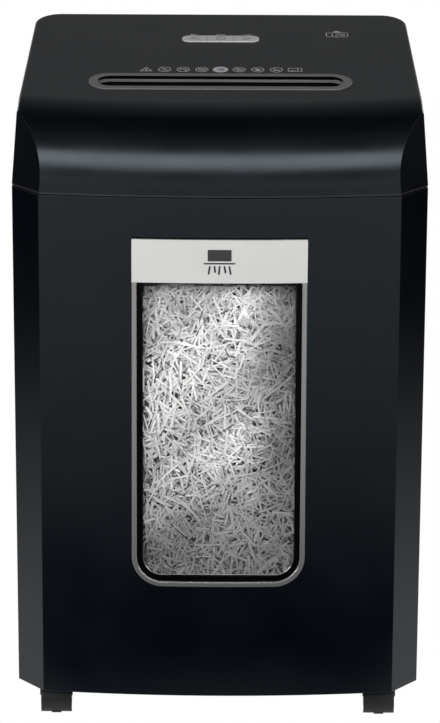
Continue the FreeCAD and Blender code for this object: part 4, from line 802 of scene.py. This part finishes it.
for index, shapes in enumerate(sign_rows):
    raised_marks("top_sign_%d" % index, shapes, on_slope((index - 4) * SIGN_PITCH, SIGN_ROW), (1, 0, 0),
                 TOP_UP, PRINT_THICK, faint_print, "root")
middle_spot = on_slope(0, SIGN_ROW) + TOP_OUT * (PRINT_THICK + PRINT_GAP)
raised_marks("top_sign_hand", [stroke((-3.4, 0), (3.4, 0), 1.2), stroke((-1.2, 2.2), (2.8, 2.2), 1.1),
                               stroke((-1.2, -2.2), (2.8, -2.2), 1.1)], middle_spot, (1, 0, 0), TOP_UP,
             DARK_PRINT, print_dark, "root")
raised_marks("arrow_sign", [[round_box(10.6, 5.6, 2.2), round_box(9.8, 4.8, 1.6)],
                            [(-4.6, 6.6), (4.6, 6.6), (0, 10.4)], stroke((-4.5, -2.4), (-4.5, 2.4), 0.9),
                            stroke((-1.4, -2.6), (1.6, 2.6), 0.8), hoop(2.6, 0.8, (5.0, 0))],
             on_slope(*ARROW_SPOT), (1, 0, 0), TOP_UP, PRINT_THICK, faint_print, "root")
for index, x in enumerate((-KEY_PITCH, 0, KEY_PITCH)):
    rows = {0: [stroke((-2.5, 0), (2.5, 0), 0.8), [(-2.6, -1.6), (-2.6, 1.6), (-4.8, 0)]],
            1: [arc(1.1, centre=(dx, 0), steps=14) for dx in (-3, 0, 3)],
            2: [stroke((-2.5, 0), (2.5, 0), 0.8), [(2.6, -1.6), (4.8, 0), (2.6, 1.6)]]}[index]
    raised_marks("key_label_%d" % index, rows, on_slope(x, LABEL_ROW), (1, 0, 0), TOP_UP, PRINT_THICK,
                 faint_print, "root")


# ---- Function keys --------------------------------------------------------------------------
# Three pale grey keys, together 73.6 x 16 mm, fill one rounded slot.  Each carries a dark sign:
# an open arrowhead to the left, the usual open ring with a bar, and one to the right.

key_grey = moulded("key_grey", (0.29, 0.28, 0.286), 0.38, bump=0.04, wear=0.2, worn=(0.6, 0.6, 0.6),
                   dust=0.02)
KEY_STANDS = 0.0008     # how far the keys stand out of the top, in metres
key_signs = {
    "reverse": (-KEY_PITCH, [stroke((4.2, 3.6), (-4.2, 0), 0.9), stroke((-4.2, 0), (4.2, -3.6), 0.9)]),
    "auto": (0, [band(4.4, 0.9, 125, 415, 32), stroke((0, 1.2), (0, 5.4), 0.9)]),
    "forward": (KEY_PITCH, [stroke((-4.2, 3.6), (4.2, 0), 0.9), stroke((4.2, 0), (-4.2, -3.6), 0.9)]),
}
for key, (x, shapes) in key_signs.items():
    finish(key_grey, key + "_button")
    raised_marks(key + "_button_sign", shapes, on_slope(x, KEY_ROW) + TOP_OUT * KEY_STANDS, (1, 0, 0),
                 TOP_UP, DARK_PRINT, print_dark, key + "_key")


# ---- Casters --------------------------------------------------------------------------------
# Four twin-wheel furniture casters with 30 mm wheels of black rubber-like plastic.  Each wheel
# has a rounded tread and a dished face with a rim, six ribs and a hub over the 5 mm steel axle.
# A curved guard 1.2 mm thick and 29 mm wide covers the front of each pair.

hood_black = moulded("hood_black", (0.004, 0.0045, 0.005), 0.36, pitch=900, bump=0.1, wear=0.4)
wheel_black = moulded("wheel_black", (0.006, 0.006, 0.0065), 0.45, pitch=500, bump=0.2, wear=0.3, dust=0.25)
bare_steel = metal("bare_steel", (0.56, 0.55, 0.53), 0.32, brushed=(0.05, 1, 1), brush=300)


def turned(name, profile, centre, material, body, steps=56):
    """Solid of revolution about X; profile is (x, radius) in mm, closed on itself."""
    work = bmesh.new()
    turns = [2 * math.pi * k / steps for k in range(steps)]
    rings = [[work.verts.new((centre[0] + x / 1000, centre[1] + radius / 1000 * math.cos(turn),
                              centre[2] + radius / 1000 * math.sin(turn))) for turn in turns]
             for x, radius in profile]
    count = len(rings)
    for index in range(count):
        here, there = rings[index], rings[(index + 1) % count]
        for k in range(steps):
            work.faces.new((here[k], here[(k + 1) % steps], there[(k + 1) % steps], there[k]))
    bmesh.ops.recalc_face_normals(work, faces=work.faces)
    made = bpy.data.meshes.new(name)
    work.to_mesh(made)
    work.free()
    made.materials.append(material)
    for face in made.polygons:
        face.use_smooth = True
    made.set_sharp_from_angle(angle=math.radians(32))
    item = put(name, made)
    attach(item, body)
    return item


GUARD_INNER, GUARD_OUTER, GUARD_HALF = 0.0156, 0.0168, 0.0147
RIB_FACE, RIB_THICK, RIBS = 0.01295, 0.0006, 6


def fender(name, middle, body):
    """Curved guard over the front of a pair of wheels, open below and behind."""
    points, faces = [], []
    steps, start, sweep = 26, -38, 176      # the angles are in degrees from the top
    for k in range(steps + 1):
        turn = math.radians(start + sweep * k / steps)
        for side in (-1, 1):
            for radius in (GUARD_INNER, GUARD_OUTER):
                points.append((middle[0] + side * GUARD_HALF, middle[1] - radius * math.sin(turn),
                               middle[2] + radius * math.cos(turn)))
    for k in range(steps):
        a, b = 4 * k, 4 * k + 4
        faces += [(a, a + 2, b + 2, b), (a + 1, b + 1, b + 3, a + 3), (a, b, b + 1, a + 1),
                  (a + 2, a + 3, b + 3, b + 2)]
    faces += [(0, 1, 3, 2), (4 * steps, 4 * steps + 2, 4 * steps + 3, 4 * steps + 1)]
    made = bpy.data.meshes.new(name)
    made.from_pydata(points, [], faces)
    made.materials.append(hood_black)
    item = put(name, made)
    rounding = item.modifiers.new("rounding", "BEVEL")
    rounding.width = 0.0004
    rounding.segments = 2
    rounding.limit_method = "ANGLE"
    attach(item, body)


wheel_profile = [(5, 2.6), (5, 12.2), (5.6, 12.6), (5.6, 14.1), (6.3, 14.75), (7.6, 15), (11.4, 15),
                 (12.7, 14.75), (13.6, 14.0), (14.0, 12.9), (14.0, 11.8), (13.3, 11.2), (12.9, 6.6),
                 (13.5, 6.0), (13.9, 5.2), (14.0, 2.6)]
spoke = stroke((0, 6.4), (0, 11.4), 1.3)
for corner in ("fl", "fr", "rl", "rr"):
    finish(hood_black, "caster_hood_" + corner)
    finish(bare_steel, "caster_axle_" + corner)
    low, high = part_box("caster_wheels_" + corner)
    middle = [(a + b) / 2 for a, b in zip(low, high)]
    fender("caster_guard_" + corner, middle, "swivel_" + corner)
    for side in (-1, 1):
        wheel = turned("caster_wheel_%s_%s" % (corner, "in" if side * middle[0] < 0 else "out"),
                       [(side * x, radius) for x, radius in wheel_profile], middle, wheel_black,
                       "wheels_" + corner)
        for k in range(RIBS):
            turn = 2 * math.pi * k / RIBS
            rib = [(u * math.cos(turn) - v * math.sin(turn), u * math.sin(turn) + v * math.cos(turn))
                   for u, v in spoke]
            raised_marks("wheel_rib_%s_%d_%d" % (corner, side, k), [rib],
                         (middle[0] + side * RIB_FACE, middle[1], middle[2]), (0, side, 0), (0, 0, 1),
                         RIB_THICK, wheel_black, "wheels_" + corner)
    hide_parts("caster_wheels_" + corner)


# ---- Inlet at the back ----------------------------------------------------------------------
# A recess in the head's back of the cabinet's plastic, with the rubber grommet that grips the
# mains lead, and a gloss-black rocker that tilts in its own frame.

rubber_black = moulded("rubber_black", (0.012, 0.012, 0.012), 0.7, pitch=600, bump=0.2, wear=0.1)
gloss_black = moulded("gloss_black", (0.006, 0.006, 0.0065), 0.2, bump=0.01, wear=0.2)
finish(rubber_black, "cord_gland")
finish(gloss_black, "power_switch_case", "power_rocker")


# ---- Cutter block ---------------------------------------------------------------------------
# Zinc-plated side plates, bare steel tie rods, pins and screws, two rows of 28 dark steel discs,
# bronze bushes, and dusty black plastic combs between the discs.

plated = metal("plated_sheet", (0.6, 0.6, 0.56), 0.4, brushed=(1, 1, 1), brush=60, dull=0.3)
cutter_steel = metal("cutter_steel", (0.4, 0.39, 0.38), 0.28, brushed=(1, 0.2, 0.2), brush=500, dull=0.4)
bronze = metal("bronze", (0.62, 0.42, 0.2), 0.35, brush=200)
comb_black = moulded("comb_black", (0.015, 0.015, 0.016), 0.5, bump=0.1, dust=0.3)
finish(plated, "cutter_side_plates", "motor_mount")
finish(bare_steel, "tie_rods", "gear_pins", "head_screws", "drawer_screws", "motor_pinion")
finish(cutter_steel, "cutter_shaft_front", "cutter_shaft_rear", "cutter_discs_front",
       "cutter_discs_rear")
finish(bronze, "shaft_bushes")
finish(comb_black, "stripper_comb_front", "stripper_comb_rear")


# ---- Gear train and motor -------------------------------------------------------------------
# Ivory acetal gears, and a steel motor can 66 x 98 mm with its fan.  Three bands run round the
# can, and two screws hold its end.

gear_ivory = moulded("gear_ivory", (0.62, 0.58, 0.46), 0.35, bump=0.03, wear=0.2, worn=(0.7, 0.68, 0.6))
fan_black = moulded("fan_black", (0.02, 0.02, 0.02), 0.4, bump=0.03)
motor_can = metal("motor_can", (0.5, 0.5, 0.52), 0.38, brushed=(1, 0.05, 0.05), brush=400)
finish(gear_ivory, "cutter_gear_front", "cutter_gear_rear", "reduction_gear_second",
       "reduction_gear_first")
finish(fan_black, "cooling_fan")
finish(motor_can, "motor_case")
low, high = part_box("motor_case")
axis_y, axis_z = (low[1] + high[1]) / 2, (low[2] + high[2]) / 2
BAND_INSET, BAND_GAP, SCREW_OFFSET = 0.012, 0.008, 0.024
for index, offset in enumerate((BAND_INSET, BAND_INSET + BAND_GAP, high[0] - low[0] - BAND_INSET)):
    turned("motor_band_%d" % index,
           [(-1.6, 33.3), (-1.0, 33.8), (1.0, 33.8), (1.6, 33.3), (1.6, 32.4), (-1.6, 32.4)],
           (low[0] + offset, axis_y, axis_z), bare_steel, "root")
for side in (-1, 1):
    turned("motor_screw_%d" % (side + 1), [(-1.2, 2.6), (0.0, 2.6), (0.0, 0.4), (-1.2, 0.4)],
           (low[0] - 0.00005, axis_y + side * SCREW_OFFSET, axis_z), bare_steel, "root", steps=6)


# ---- Boards and sensors ---------------------------------------------------------------------
# Green glass-fibre boards with paler tracks under lacquer and a little dust, white key switches,
# and a black interlock switch and paper sensors.

board_green = bpy.data.materials.new("board_green")
tree = node_tree(board_green)
tracks = result(tree, "ShaderNodeTexBrick", "Color", {
    "Vector": result(tree, "ShaderNodeTexCoord", "Object"), "Scale": 90.0, "Mortar Size": 0.03,
    "Color1": (0.01, 0.10, 0.03), "Color2": (0.015, 0.13, 0.045), "Mortar": (0.06, 0.22, 0.08)})
dusty = use_group(tree, dust_group, Amount=0.2).outputs["Mask"]
principled(tree, {"Base Color": blend(tree, dusty, tracks, (0.3, 0.29, 0.26)), "Roughness": 0.35,
                  "Coat Weight": 0.4})
finish(board_green, "control_board", "power_board")
finish(moulded("switch_white", (0.6, 0.6, 0.58), 0.45, bump=0.04), "button_switches")
finish(moulded("switch_black", (0.02, 0.02, 0.02), 0.4, bump=0.05), "interlock_switch")
finish(moulded("sensor_black", (0.012, 0.012, 0.014), 0.25, bump=0.02), "paper_sensors")
